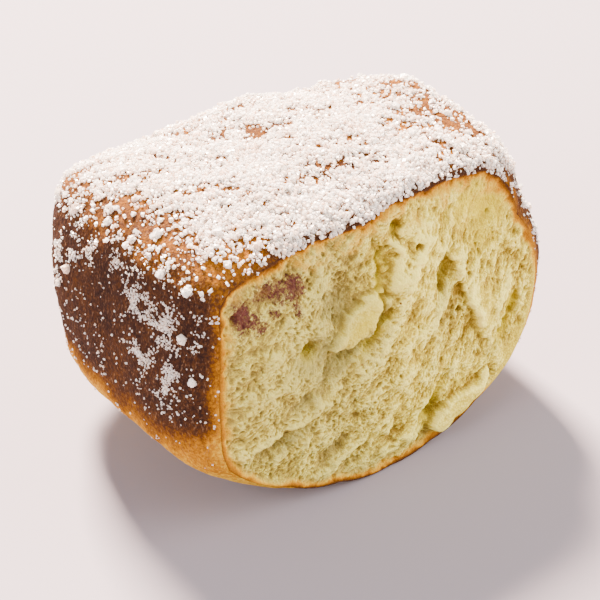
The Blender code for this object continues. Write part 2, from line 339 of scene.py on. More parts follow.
@dataclass(frozen=True)
class BunForm:
    """Form that the crust and the crumb share: the same named sizes as the solid."""

    half_width: float = 45.1
    half_depth: float = 33.4
    belt_height: float = 25.0
    top_height: float = 60.6
    crown: float = 1.9
    top_lean: float = -4.0
    top_taper: float = 4.0
    back_flare: float = 0.18
    face_slope: float = 7.8
    upper_squareness: float = 8.0
    lower_left_squareness: float = 2.0
    lower_right_squareness: float = 1.7
    back_top_squareness: float = 3.5
    back_side_squareness: float = 3.9
    back_bottom_squareness: float = 4.5
    roll_length: float = 3.6
    roll_left: float = 4.4
    roll_right: float = 6.3
    roll_top: float = 3.5
    roll_bottom: float = 2.0
    edge_reach: float = 16.0
    crust_grain: float = 0.3
    body_shift: float = -2.7
    rest_cut: float = 0.7
    relief_seed: int = 11
    torn_edge: tuple[Point2, ...] = (
        (39.9, 30.2), (39.6, 35.7), (37.8, 40.7), (35.0, 44.9), (34.1, 49.9), (31.1, 54.7),
        (27.5, 57.4), (18.4, 59.2), (11.2, 59.0), (2.5, 59.5), (-3.4, 57.4), (-11.1, 57.7),
        (-17.2, 58.3), (-21.7, 57.9), (-28.0, 56.6), (-35.6, 55.3), (-38.3, 52.8),
        (-38.6, 46.1), (-39.4, 40.6), (-40.3, 34.9), (-40.6, 28.9), (-40.9, 22.8),
        (-39.8, 18.5), (-33.4, 12.4), (-26.2, 8.3), (-14.1, 3.6), (-1.2, 1.3), (9.6, 2.4),
        (22.3, 6.5), (32.4, 12.3), (38.0, 21.5),
    )
    top_waves: tuple[Shape, ...] = (
        (24.0, 19.0, 11.0, 12.0, -3.9),
        (39.0, 4.0, 9.0, 12.0, 2.0),
        (6.0, 21.0, 9.0, 6.0, 0.8),
        (-17.0, 20.0, 7.0, 6.0, -0.8),
        (2.0, -21.0, 17.0, 3.2, -0.9),
        (-20.0, -14.0, 15.0, 8.0, 0.6),
        (14.0, -6.0, 16.0, 7.0, 0.7),
        (-8.0, 7.0, 12.0, 5.0, -0.7),
    )

    def section(self, across: Array, upward: Array) -> tuple[Array, Array]:
        """Unit outline of the body: nearly a box above the belt, a hull below it.

        Args:
            across: Place on the square's edge from left to right, -1 to 1.
            upward: Place on the square's edge from bottom to top, -1 to 1.

        Returns:
            The point's place on the outline.
        """
        rightness = ease((across + 1.0) / 2.0)
        left_power, right_power = self.lower_left_squareness, self.lower_right_squareness
        lower = left_power * (1 - rightness) + right_power * rightness
        height = ease((upward + 0.6) / 1.2)
        power = lower * (1 - height) + self.upper_squareness * height
        scale = (np.abs(across) ** power + np.abs(upward) ** power) ** (-1.0 / power)
        return across * scale, upward * scale

    def torn_radius(self, angle: Array) -> Array:
        """Distance of the tear's outline from the belt's centre.

        Args:
            angle: Direction from the centre in radians.

        Returns:
            The distance in that direction.
        """
        points = np.array(self.torn_edge)
        turns = np.arctan2(points[:, 1] - self.belt_height, points[:, 0])
        radii = np.hypot(points[:, 1] - self.belt_height, points[:, 0])
        order = np.argsort(turns)
        return np.interp(angle, turns[order], radii[order], period=2 * math.pi)

    def raw_side(self, across: Array, upward: Array, depth: Array) -> tuple[Array, ...]:
        """Crust before the tear is drawn.

        Args:
            across: Place on the square's edge from left to right.
            upward: Place on the square's edge from bottom to top.
            depth: 0 at the tear, 1 in the middle of the back.

        Returns:
            The three coordinates.
        """
        side, rise = self.section(across, upward)
        upness = ease((upward + 1.0) / 2.0)
        sideness = np.abs(across) ** 3
        over = self.back_bottom_squareness * (1 - upness) + self.back_top_squareness * upness
        power = over * (1 - sideness) + self.back_side_squareness * sideness
        turn = np.clip(depth, 0.0, 1.0) * math.pi / 2
        along, spread = np.sin(turn), np.cos(turn)
        scale = (along**power + spread**power) ** (-1.0 / power)
        along, spread = along * scale, spread * scale
        y = -self.half_depth + 2 * self.half_depth * along
        roll = np.exp(-(y + self.half_depth) / self.roll_length)
        inward = self.roll_left * ease(-across) + self.roll_right * ease(across)
        x = (self.half_width - inward * roll) * side * spread
        above = self.top_height - self.belt_height - self.roll_top * roll
        below = self.belt_height - self.roll_bottom * roll
        z = self.belt_height + np.where(rise > 0, above, below) * rise * spread
        return x, y, z

    def shaped(self, x: Array, y: Array, z: Array, depth: Array) -> tuple[Array, ...]:
        """Lean, taper, flare and crown that the whole body shares.

        Args:
            x: Coordinate along the tear.
            y: Coordinate into the body.
            z: Height.
            depth: 0 at the tear, 1 in the middle of the back.

        Returns:
            The three coordinates.
        """
        share = x / self.half_width
        level = z / self.top_height
        upper = ease((level - 0.5) * 2.0)
        y = y - (1 - depth) ** 2 * self.face_slope * (0.5 - level)
        x = x * (1 + self.back_flare * depth)
        x = x + self.top_lean * (level - 0.5) - self.top_taper * share * upper
        hump = (1 - share**2) * (1 - 0.7 * (2 * depth - 1) ** 2)
        z = z + self.crown * ease((level - 0.4) / 0.6) * hump
        return x, y, z

    def skin(self, across: Array, upward: Array, depth: Array) -> Array:
        """Finished crust surface, before it is set down.

        Args:
            across: Place on the square's edge from left to right.
            upward: Place on the square's edge from bottom to top.
            depth: 0 at the tear, 1 in the middle of the back.

        Returns:
            One row of three coordinates for each point.
        """
        x, y, z = self.shaped(*self.raw_side(across, upward, depth), depth)
        none = np.zeros_like(depth)
        front = self.shaped(*self.raw_side(across, upward, none), none)
        rise = front[2] - self.belt_height
        wanted = self.torn_radius(np.arctan2(rise, front[0])) / np.hypot(rise, front[0])
        pull = 1 + (wanted - 1) * np.exp(-(y - front[1]) / self.edge_reach)
        x = x * pull
        z = self.belt_height + (z - self.belt_height) * pull
        topness = ease((z / self.top_height - 0.72) / 0.2)
        for wave_x, wave_y, reach_x, reach_y, height in self.top_waves:
            away = ((x - wave_x) / reach_x) ** 2 + ((y - wave_y) / reach_y) ** 2
            z = z + height * topness * np.exp(-away)
        broad = value_noise(x + 0.35 * z, y - 0.5 * z, 11.0, self.relief_seed + 2)
        fine = value_noise(x - 0.6 * z, y + 0.4 * z, 4.0, self.relief_seed + 3)
        grain = self.crust_grain * (broad + 0.4 * fine)
        swell = 1 + grain * ease(depth * 20.0) / 35.0
        return np.stack([x * swell, y, self.belt_height + (z - self.belt_height) * swell], axis=1)

    def skin_normal(self, across: Array, upward: Array, depth: Array) -> tuple[Array, Array]:
        """Crust points with the direction that they face.

        Args:
            across: Place on the square's edge from left to right.
            upward: Place on the square's edge from bottom to top.
            depth: 0 at the tear, 1 in the middle of the back.

        Returns:
            The points and their outward directions.
        """
        here = self.skin(across, upward, depth)
        deeper = self.skin(across, upward, depth + 0.004)
        beside = self.skin(across - 0.01 * upward, upward + 0.01 * across, depth)
        normal = np.cross(deeper - here, beside - here)
        outward = here - np.array([0.0, 0.0, self.belt_height])
        normal *= np.sign((normal * outward).sum(axis=1, keepdims=True))
        return here, normal / np.linalg.norm(normal, axis=1, keepdims=True)

    def shrunk(self, ring: Array, scale: float, y: Array | float) -> Array:
        """Ring drawn in towards the belt's centre, at another depth.

        Args:
            ring: Points of the ring.
            scale: Size of the drawn ring against the old one.
            y: Its depth, one for all the points or one for each.

        Returns:
            The points of the drawn ring.
        """
        middle = np.array([0.0, 0.0, self.belt_height])
        drawn = middle + (ring - middle) * np.array([scale, 1.0, scale])
        drawn[:, 1] = y
        return drawn

    def set_down(self, points: Array) -> Array:
        """Points where the solid stands, with the base cut flat.

        Args:
            points: Points of the form in millimetres.

        Returns:
            The placed points in metres.
        """
        placed = points - np.array([0.0, self.body_shift, self.rest_cut])
        placed[:, 2] = np.maximum(placed[:, 2], 0.0)
        return placed * MM


class NodeSheet:
    """Places the nodes of one tree and joins them."""

    CHANCE_SOCKETS = {"FLOAT_VECTOR": (0, 1, 0), "FLOAT": (2, 3, 1), "INT": (4, 5, 2)}

    def __init__(self, tree: bpy.types.NodeTree) -> None:
        """Keeps the tree that the nodes go in."""
        self.tree = tree
        self.count = 0

    def add(
        self, kind: str, feeds: dict[str | int, object] | None = None, **settings: object
    ) -> bpy.types.Node:
        """New node with its settings and inputs.

        Args:
            kind: Blender's name for the node's type.
            feeds: Value or socket for each input's name or number.
            **settings: Values of the node's properties.

        Returns:
            The node.
        """
        node = self.tree.nodes.new(kind)
        node.location = (200.0 * (self.count // 6), -220.0 * (self.count % 6))
        self.count += 1
        for label, value in settings.items():
            setattr(node, label, value)
        self.fill(node, feeds or {})
        return node

    def fill(self, node: bpy.types.Node, feeds: dict[str | int, object]) -> None:
        """Joins each named input to a socket, or sets its plain value.

        Args:
            node: The node.
            feeds: Value or socket for each input's name or number.
        """
        for label, value in feeds.items():
            if isinstance(value, bpy.types.NodeSocket):
                self.tree.links.new(value, node.inputs[label])
            else:
                node.inputs[label].default_value = value

    def math(self, operation: str, first: object, second: object) -> Socket:
        """Result of an operation on two values or sockets."""
        return self.add("ShaderNodeMath", {0: first, 1: second}, operation=operation).outputs[0]

    def plus(self, first: object, second: object) -> Socket:
        """Sum of two values or sockets."""
        return self.math("ADD", first, second)

    def minus(self, first: object, second: object) -> Socket:
        """Difference of two values or sockets."""
        return self.math("SUBTRACT", first, second)

    def times(self, first: object, second: object) -> Socket:
        """Product of two values or sockets."""
        return self.math("MULTIPLY", first, second)

    def spread(self, value: object, low: float, high: float) -> Socket:
        """Smooth step of a value.

        Args:
            value: Value or socket.
            low: Where the step starts from 0.
            high: Where it reaches 1.

        Returns:
            The step's socket.
        """
        feeds = {"Value": value, "From Min": low, "From Max": high}
        node = self.add("ShaderNodeMapRange", feeds, interpolation_type="SMOOTHSTEP")
        return node.outputs["Result"]

    def place(self) -> Socket:
        """Object coordinates."""
        return self.add("ShaderNodeTexCoord").outputs["Object"]

    def mask(self, label: str) -> Socket:
        """Value of a point attribute."""
        return self.add("ShaderNodeAttribute", attribute_name=label).outputs["Fac"]

    def noise(self, place: Socket, size: object, detail: float, rough: float = 0.5) -> Socket:
        """Cloudy noise.

        Args:
            place: Coordinates.
            size: Features to the metre, or a socket with them.
            detail: Number of finer sizes.
            rough: Strength of the finer sizes.

        Returns:
            The value's socket, from 0 to 1.
        """
        feeds = {"Vector": place, "Scale": size, "Detail": detail, "Roughness": rough}
        return self.add("ShaderNodeTexNoise", feeds).outputs["Fac"]

    def fibres(self, place: Socket, angle: float, stretch: float, size: float) -> Socket:
        """Noise drawn out along one direction in the plane of the torn face.

        Args:
            place: Coordinates.
            angle: Direction above the level in degrees.
            stretch: How many times longer than wide the features are.
            size: Features to the metre across the direction.

        Returns:
            The value's socket, from 0 to 1.
        """
        turn = (0.0, -math.radians(angle), 0.0)
        feeds = {"Vector": place, "Rotation": turn, "Scale": (stretch, 1.0, 1.0)}
        node = self.add("ShaderNodeMapping", feeds, vector_type="TEXTURE")
        return self.noise(node.outputs["Vector"], size, 3.0, 0.62)

    def cells(self, place: Socket, size: object) -> Socket:
        """Distance to the nearest of many scattered points, at so many points to the metre."""
        feeds = {"Vector": place, "Scale": size}
        return self.add("ShaderNodeTexVoronoi", feeds).outputs["Distance"]

    def mix(self, share: object, first: object, second: object) -> Socket:
        """Blend of two colours.

        Args:
            share: How much of the second one.
            first: Colour or socket.
            second: Colour or socket.

        Returns:
            The blended colour's socket.
        """
        feeds = {0: share, 6: first, 7: second}
        return self.add("ShaderNodeMix", feeds, data_type="RGBA").outputs[2]

    def ramp(self, value: Socket, stops: tuple[tuple[float, Colour], ...]) -> Socket:
        """Colour for a value from a row of stops.

        Args:
            value: Socket with the value.
            stops: Place and colour of each stop.

        Returns:
            The colour's socket.
        """
        node = self.add("ShaderNodeValToRGB")
        band = node.color_ramp
        for _ in range(len(stops) - 2):
            band.elements.new(0.5)
        for element, (place, colour) in zip(band.elements, stops):
            element.position = place
            element.color = colour
        self.fill(node, {0: value})
        return node.outputs["Color"]

    def bump(self, height: Socket, distance: float) -> Socket:
        """Normals of a fine relief, with its depth in metres."""
        feeds = {"Height": height, "Distance": distance, "Strength": 1.0}
        return self.add("ShaderNodeBump", feeds).outputs["Normal"]

    def chance(self, kind: str, seed: int, low: object, high: object) -> Socket:
        """Random value at each point of a geometry.

        Args:
            kind: Blender's name for the type of value.
            seed: Seed of the draw.
            low: Smallest value or its socket.
            high: Largest value or its socket.

        Returns:
            The value's socket.
        """
        first, second, out = self.CHANCE_SOCKETS[kind]
        feeds = {first: low, second: high, "Seed": seed}
        return self.add("FunctionNodeRandomValue", feeds, data_type=kind).outputs[out]


def new_group(name: str, inputs: dict[str, float], outputs: dict[str, str]) -> NodeSheet:
    """Shader node group with named inputs and outputs.

    Args:
        name: Name of the group.
        inputs: Plain value under each input's name.
        outputs: Socket type under each output's name.

    Returns:
        The sheet of the new group's tree.
    """
    tree = bpy.data.node_groups.new(name, "ShaderNodeTree")
    for label, value in inputs.items():
        socket = tree.interface.new_socket(label, in_out="INPUT", socket_type="NodeSocketFloat")
        socket.default_value = value
    for label, kind in outputs.items():
        tree.interface.new_socket(label, in_out="OUTPUT", socket_type=kind)
    return NodeSheet(tree)


class Browning:
    """How dough colours in the oven, shared by the crust and the rim of the crumb."""

    STOPS: tuple[tuple[float, Colour], ...] = (
        (0.00, (0.62, 0.45, 0.10, 1.0)),
        (0.16, (0.55, 0.32, 0.022, 1.0)),
        (0.34, (0.36, 0.145, 0.005, 1.0)),
        (0.52, (0.165, 0.058, 0.004, 1.0)),
        (0.70, (0.058, 0.0215, 0.0075, 1.0)),
        (0.86, (0.027, 0.0120, 0.0085, 1.0)),
        (1.00, (0.012, 0.0065, 0.0060, 1.0)),
    )

    def __init__(self) -> None:
        """Builds the group once."""
        sheet = new_group(
            "browning",
            {"Amount": 0.5, "Mottling": 0.2, "Features per metre": 300.0},
            {"Color": "NodeSocketColor"},
        )
        entry, place = sheet.add("NodeGroupInput").outputs, sheet.place()
        size = entry["Features per metre"]
        broad = sheet.noise(place, size, 4.0, 0.6)
        finer = sheet.noise(place, sheet.times(size, 7.0), 4.0, 0.75)
        fine = sheet.spread(finer, 0.34, 0.66)
        cloud = sheet.plus(sheet.times(broad, 0.7), sheet.times(fine, 0.5))
        uneven = sheet.times(sheet.minus(cloud, 0.6), entry["Mottling"])
        amount = sheet.plus(entry["Amount"], uneven)
        sheet.add("NodeGroupOutput", {"Color": sheet.ramp(amount, self.STOPS)})
        self.tree = sheet.tree

    def colour(self, sheet: NodeSheet, amount: Socket, mottling: float, size: float) -> Socket:
        """Baked colour on a material's own sheet.

        Args:
            sheet: Sheet of the material.
            amount: Socket with how brown it is, from 0 to 1.
            mottling: How uneven the browning is.
            size: Features of the unevenness to the metre.

        Returns:
            The colour's socket.
        """
        feeds = {"Amount": amount, "Mottling": mottling, "Features per metre": size}
        return sheet.add("ShaderNodeGroup", feeds, node_tree=self.tree).outputs["Color"]


class Granules:
    """Fine grainy relief and speckle, shared by the crust and the crumb."""

    def __init__(self) -> None:
        """Builds the group once."""
        sheet = new_group(
            "granules",
            {"Features per metre": 2000.0},
            {"Height": "NodeSocketFloat", "Speckle": "NodeSocketFloat"},
        )
        place, size = sheet.place(), sheet.add("NodeGroupInput").outputs["Features per metre"]
        cloud = sheet.noise(place, sheet.times(size, 0.6), 3.0, 0.6)
        height = sheet.minus(sheet.times(cloud, 1.2), sheet.cells(place, size))
        feeds = {"Height": height, "Speckle": sheet.spread(height, -0.1, 0.45)}
        sheet.add("NodeGroupOutput", feeds)
        self.tree = sheet.tree

    def place(self, sheet: NodeSheet, size: float) -> tuple[Socket, Socket]:
        """Height and speckle on a material's own sheet."""
        node = sheet.add("ShaderNodeGroup", {"Features per metre": size}, node_tree=self.tree)
        return node.outputs["Height"], node.outputs["Speckle"]


def new_material(name: str) -> tuple[bpy.types.Material, NodeSheet, bpy.types.Node]:
    """Material with an empty sheet and its shader.

    Args:
        name: Name of the material.

    Returns:
        The material, its sheet and its Principled shader.
    """
    material = bpy.data.materials.new(name)
    material.use_nodes = True
    shader = material.node_tree.nodes["Principled BSDF"]
    return material, NodeSheet(material.node_tree), shader


@dataclass(frozen=True)
class CrustFinish:
    """Baked crust with sugar frosted on it."""

    browning: Browning
    granules: Granules
    frost: Colour = (0.90, 0.68, 0.54, 1.0)
    frosting: float = 0.30
    fleck_and_glint: Colour = (0.30, 0.16, 0.085, 1.0)
    fleck_and_glint_amount: float = 0.35
    frost_relief: float = 1.6
    mottling: float = 0.42
    mottle_size: float = 190.0
    granule_size: float = 1500.0
    skin_size: float = 1700.0
    streaks: Point3 = (80.0, 2.4, 2300.0)
    relief_depth: float = 0.00040
    least_roughness: float = 0.60
    plain: Plain = (
        ("Specular IOR Level", DOUGH_SPECULAR),
        ("Subsurface Weight", 0.12),
        ("Subsurface Radius", (1.0, 0.5, 0.25)),
        ("Subsurface Scale", 0.0012),
    )

    def material(self) -> bpy.types.Material:
        """Browned skin with fine streaks and tan flecks that are partly painted highlight, whiter
        where sugar dust lies.

        Returns:
            The crust's material.
        """
        made, sheet, shader = new_material("baked_crust")
        baked = self.browning.colour(sheet, sheet.mask("bake"), self.mottling, self.mottle_size)
        place, frost = sheet.place(), sheet.mask("frost")
        height, speckle = self.granules.place(sheet, self.granule_size)
        fine = sheet.fibres(place, *self.streaks)
        cover = sheet.plus(sheet.times(frost, 0.85), sheet.times(speckle, 0.5))
        cover = sheet.plus(cover, sheet.times(fine, 0.7))
        white = sheet.times(sheet.spread(cover, 0.85, 1.55), sheet.spread(frost, 0.45, 0.95))
        white = sheet.times(white, self.frosting)
        # Tan flecks along the fine streaks: partly the crust's own specks, partly painted highlight
        # for its tiny glints.
        fleck_and_glint = sheet.times(sheet.spread(fine, 0.55, 0.72), self.fleck_and_glint_amount)
        baked = sheet.mix(fleck_and_glint, baked, self.fleck_and_glint)
        skin = sheet.times(sheet.noise(place, self.skin_size, 4.0, 0.65), 0.7)
        skin = sheet.plus(skin, sheet.times(fine, 0.8))
        frosted = sheet.times(sheet.times(height, white), self.frost_relief)
        feeds = {
            "Base Color": sheet.mix(white, baked, self.frost),
            "Roughness": sheet.plus(sheet.times(skin, 0.25), self.least_roughness),
            "Normal": sheet.bump(sheet.plus(frosted, skin), self.relief_depth),
        }
        sheet.fill(shader, feeds | dict(self.plain))
        return made


@dataclass(frozen=True)
class CrumbFinish:
    """Torn inside of the dough: pale webs, ochre pores, a toasted rim and a soaked stain, with
    painted shade in its pores and hollows and painted highlight on its ridges.
    """

    browning: Browning
    granules: Granules
    # The ramp runs from the painted shade of the pores to the pale webs, by how far the relief
    # sinks or stands out.
    pore_shade: Colour = (0.22, 0.130, 0.012, 1.0)
    shade: Colour = (0.37, 0.265, 0.034, 1.0)
    body: Colour = (0.53, 0.415, 0.044, 1.0)
    web: Colour = (0.80, 0.70, 0.165, 1.0)
    # Painted shade colour, laid on the hollows, the left half and the bottom of the face.
    grey: Colour = (0.235, 0.192, 0.058, 1.0)
    yellow: Colour = (0.50, 0.385, 0.012, 1.0)
    stain: Colour = (0.078, 0.020, 0.022, 1.0)
    speck: Colour = (0.16, 0.075, 0.02, 1.0)
    granule_size: float = 2300.0
    rim_mottling: float = 0.16
    rim_mottle_size: float = 500.0
    blot_size: float = 1150.0
    blotchiness: float = 3.4
    staining: float = 0.96
    yellowing: float = 0.8
    web_contrast: float = 0.75
    pore_contrast: float = 0.20
    speck_size: float = 210.0
    steep_fibres: Point3 = (63.0, 3.0, 2400.0)
    loose_fibres: Point3 = (18.0, 1.8, 2200.0)
    relief_depth: float = 0.00028
    plain: Plain = (
        ("Roughness", 0.8),
        ("Specular IOR Level", DOUGH_SPECULAR),
        ("Subsurface Weight", 0.35),
        ("Subsurface Radius", (1.0, 0.75, 0.35)),
        ("Subsurface Scale", 0.0010),
    )

    def material(self) -> bpy.types.Material:
        """Dough painted lighter on its raised webs and darker in its pores and hollows, a painted
        shade and highlight that follow the relief, with the face's own tones.

        Returns:
            The crumb's material.
        """
        made, sheet, shader = new_material("torn_crumb")
        place = sheet.place()
        height, speckle = self.granules.place(sheet, self.granule_size)
        ripple = self.ripple(sheet, place)
        # Painted shade and highlight: the level mask and the fibres make the dough darker where its
        # relief sinks and lighter where it stands out.
        level = sheet.plus(sheet.mask("level"), sheet.times(ripple, self.web_contrast))
        # Painted shade in the fine pores: darker where the granules sink.
        pores = sheet.times(sheet.minus(speckle, 0.5), self.pore_contrast)
        tint = sheet.ramp(
            sheet.plus(level, pores),
            ((0.05, self.pore_shade), (0.34, self.shade), (0.58, self.body), (0.92, self.web)),
        )
        # Painted shade: olive over the hollows, the left half and the bottom of the face.
        tint = sheet.mix(sheet.mask("grey"), tint, self.grey)
        # Yellow: partly the dough's own tone, partly painted shade in dents and along the crack and
        # flap edge.
        yellow = sheet.times(sheet.mask("yellow"), self.yellowing)
        tint = sheet.mix(yellow, tint, self.yellow)
        tint = sheet.mix(self.soaked(sheet, place), tint, self.stain)
        rare = sheet.spread(sheet.cells(place, self.speck_size), 0.03, 0.07)
        tint = sheet.mix(sheet.minus(1.0, rare), tint, self.speck)
        toast = sheet.mask("toast")
        baked = self.browning.colour(sheet, toast, self.rim_mottling, self.rim_mottle_size)
        relief = sheet.plus(sheet.times(height, 0.5), sheet.times(ripple, 1.4))
        feeds = {
            "Base Color": sheet.mix(sheet.spread(toast, 0.02, 0.22), tint, baked),
            "Normal": sheet.bump(relief, self.relief_depth),
        }
        sheet.fill(shader, feeds | dict(self.plain))
        return made

    def ripple(self, sheet: NodeSheet, place: Socket) -> Socket:
        """Fibres along the pull, fading out where the dough is smooth.

        Args:
            sheet: Sheet of the material.
            place: Coordinates.

        Returns:
            The height's socket, round 0.
        """
        steep = sheet.mask("steep")
        drawn = sheet.fibres(place, *self.steep_fibres)
        loose = sheet.fibres(place, *self.loose_fibres)
        fine = sheet.plus(sheet.times(drawn, steep), loose)
        fine = sheet.minus(fine, sheet.times(loose, steep))
        rough = sheet.minus(1.0, sheet.mask("smooth"))
        return sheet.times(sheet.minus(fine, 0.5), rough)

    def soaked(self, sheet: NodeSheet, place: Socket) -> Socket:
        """Blotchy share of the stain.

        Args:
            sheet: Sheet of the material.
            place: Coordinates.

        Returns:
            The share's socket, from 0 to 1.
        """
        stain = sheet.mask("stain")
        blot = sheet.minus(sheet.noise(place, self.blot_size, 4.0, 0.8), 0.5)
        uneven = sheet.plus(stain, sheet.times(blot, self.blotchiness))
        share = sheet.times(sheet.spread(uneven, 0.12, 0.95), sheet.spread(stain, 0.05, 0.4))
        return sheet.times(share, self.staining)


@dataclass(frozen=True)
class SugarFinish:
    """Clear to milky crystals."""

    name: str = "sugar_crystal"
    bright: Colour = (0.98, 0.89, 0.82, 1.0)
    warm: Colour = (0.92, 0.66, 0.50, 1.0)
    least_roughness: float = 0.07
    clearness: float = 0.65
    rim_milkiness: float = 0.9
    cloud_size: float = 2500.0
    plain: Plain = (
        ("Subsurface Weight", 0.4),
        ("Subsurface Radius", (1.0, 0.85, 0.75)),
        ("Subsurface Scale", 0.0006),
    )

    def material(self) -> bpy.types.Material:
        """Cloudy crystals, some warmer than others and each clearer in its middle.

        Returns:
            The crystals' material.
        """
        made, sheet, shader = new_material(self.name)
        cloud = sheet.noise(sheet.place(), self.cloud_size, 2.0)
        share = sheet.times(sheet.spread(sheet.mask("grain"), 0.45, 1.0), sheet.plus(cloud, 0.35))
        rim = sheet.add("ShaderNodeLayerWeight", {"Blend": 0.4}).outputs["Facing"]
        feeds = {
            "Base Color": sheet.mix(share, self.bright, self.warm),
            "Roughness": sheet.plus(sheet.times(cloud, 0.3), self.least_roughness),
            "Alpha": sheet.plus(sheet.times(rim, self.rim_milkiness), 1.0 - self.clearness),
        }
        sheet.fill(shader, feeds | dict(self.plain))
        return made


@dataclass(frozen=True)
class SugarCover:
    """Where the sugar lies: nearly all of the top, clusters and stray grains on the sides.

    Rows of bare and clusters hold a middle, two radii and a turn in degrees.
    """

    seed: int = 31
    side_seed: int = 23
    fullness: float = 0.74
    drifts: float = 0.75
    raggedness: float = 0.90
    bareness: float = 0.85
    strays: float = 0.10
    side_strays: float = 0.05
    side_fullness: float = 0.42
    bare: tuple[Shape, ...] = (
        (-14.4, 17.0, 4.6, 2.2, 0.0),
        (-8.4, 9.0, 2.6, 1.6, 10.0),
        (-3.5, 4.6, 2.4, 1.4, 0.0),
        (3.0, 3.6, 2.6, 1.2, -30.0),
        (-1.0, -16.6, 6.0, 1.1, -38.0),
        (8.0, -21.4, 4.6, 1.2, -38.0),
        (31.0, -22.0, 4.0, 2.6, -20.0),
        (-34.0, -30.5, 8.0, 4.6, 0.0),
        (25.0, -9.0, 3.0, 1.6, -38.0),
        (20.0, -25.5, 4.0, 1.4, -20.0),
    )
    clusters: tuple[Shape, ...] = (
        (-14.5, 48.0, 5.4, 3.4, 20.0),
        (-21.8, 46.4, 3.2, 4.6, 0.0),
        (-24.2, 37.0, 1.9, 6.0, 0.0),
        (-16.5, 37.4, 4.2, 2.0, 0.0),
        (-7.2, 53.0, 2.2, 3.6, 0.0),
        (-11.0, 56.8, 5.0, 2.2, 0.0),
        (-21.0, 57.2, 6.0, 2.0, 0.0),
        (11.6, 55.2, 5.0, 3.0, 0.0),
        (8.8, 48.4, 2.2, 3.0, 0.0),
        (15.4, 41.6, 2.0, 4.2, 0.0),
        (-28.0, 46.4, 1.7, 2.4, 0.0),
        (-31.6, 50.2, 1.4, 1.4, 0.0),
        (-21.4, 29.4, 1.5, 2.4, 0.0),
        (2.4, 50.0, 2.4, 2.0, 0.0),
    )

    def top(self, points: Array, up: Array, behind: Array) -> Array:
        """Cover of the top.

        Args:
            points: Points of the crust in millimetres.
            up: How much each one faces up.
            behind: Distance behind the tear.

        Returns:
            Cover from 0 to 1.
        """
        noise = Noise(self.seed)
        x, y = points[:, 0], points[:, 1]
        along, beside = x * 0.79 - y * 0.61, x * 0.61 + y * 0.79
        level = self.fullness + self.drifts * noise.octaves(along / 10.0, beside / 4.0, 5)
        level = level + self.raggedness * noise.octaves(x / 1.3, y / 1.3 + 50.0, 2)
        for shape in self.bare:
            level = level - self.bareness * mound(x, y, shape)
        ragged = noise.octaves(x / 4.0 + 30.0, y / 4.0, 3)
        level = level - (0.8 + 0.9 * ragged) * np.exp(-behind / 1.0)
        level = level - 0.95 * ease((-28.5 - x + 2.5 * ragged) / 12.0)
        level = level - 0.75 * ease((x - 8.0) / 22.0) * ease((y + 30.0) / 12.0)
        level = level - 0.40 * mound(x, y, (-3.0, 12.0, 14.0, 7.0, -30.0))
        level = level + 0.25 * ease((-14.0 - y) / 8.0) * ease((30.0 + x) / 8.0)
        base = ease((up - 0.25) / 0.36) * ease((points[:, 2] - 44.0) / 6.0)
        sparse = self.strays * ease((noise.octaves(x / 1.1, y / 1.1 + 20.0, 2) + 0.35) / 0.7)
        return np.maximum(ease(level), sparse * ease(behind - 0.5)) * base

    def sides(self, points: Array, up: Array) -> Array:
        """Cover of the sides.

        Args:
            points: Points of the crust in millimetres.
            up: How much each one faces up.

        Returns:
            Cover from 0 to 1.
        """
        noise = Noise(self.seed + 1)
        x, y, z = points[:, 0], points[:, 1], points[:, 2]
        left = ease((-x - 30.0) / 8.0)
        level = np.zeros(len(points))
        for shape in self.clusters:
            level = np.maximum(level, mound(y, z, shape))
        elsewhere = ease((value_noise(x + y, z, 13.0, self.side_seed) + 0.1) / 0.6) * 0.6
        level = level * left + elsewhere * (1 - left)
        steep = ease((0.75 - up) / 0.3)
        grainy = self.side_fullness + 1.3 * noise.octaves((x + y) / 2.8, z / 2.8, 4)
        level = np.maximum(level, self.side_strays)
        return np.clip(level * steep * grainy, 0.0, 1.0) * ease((z - 12.0) / 20.0)


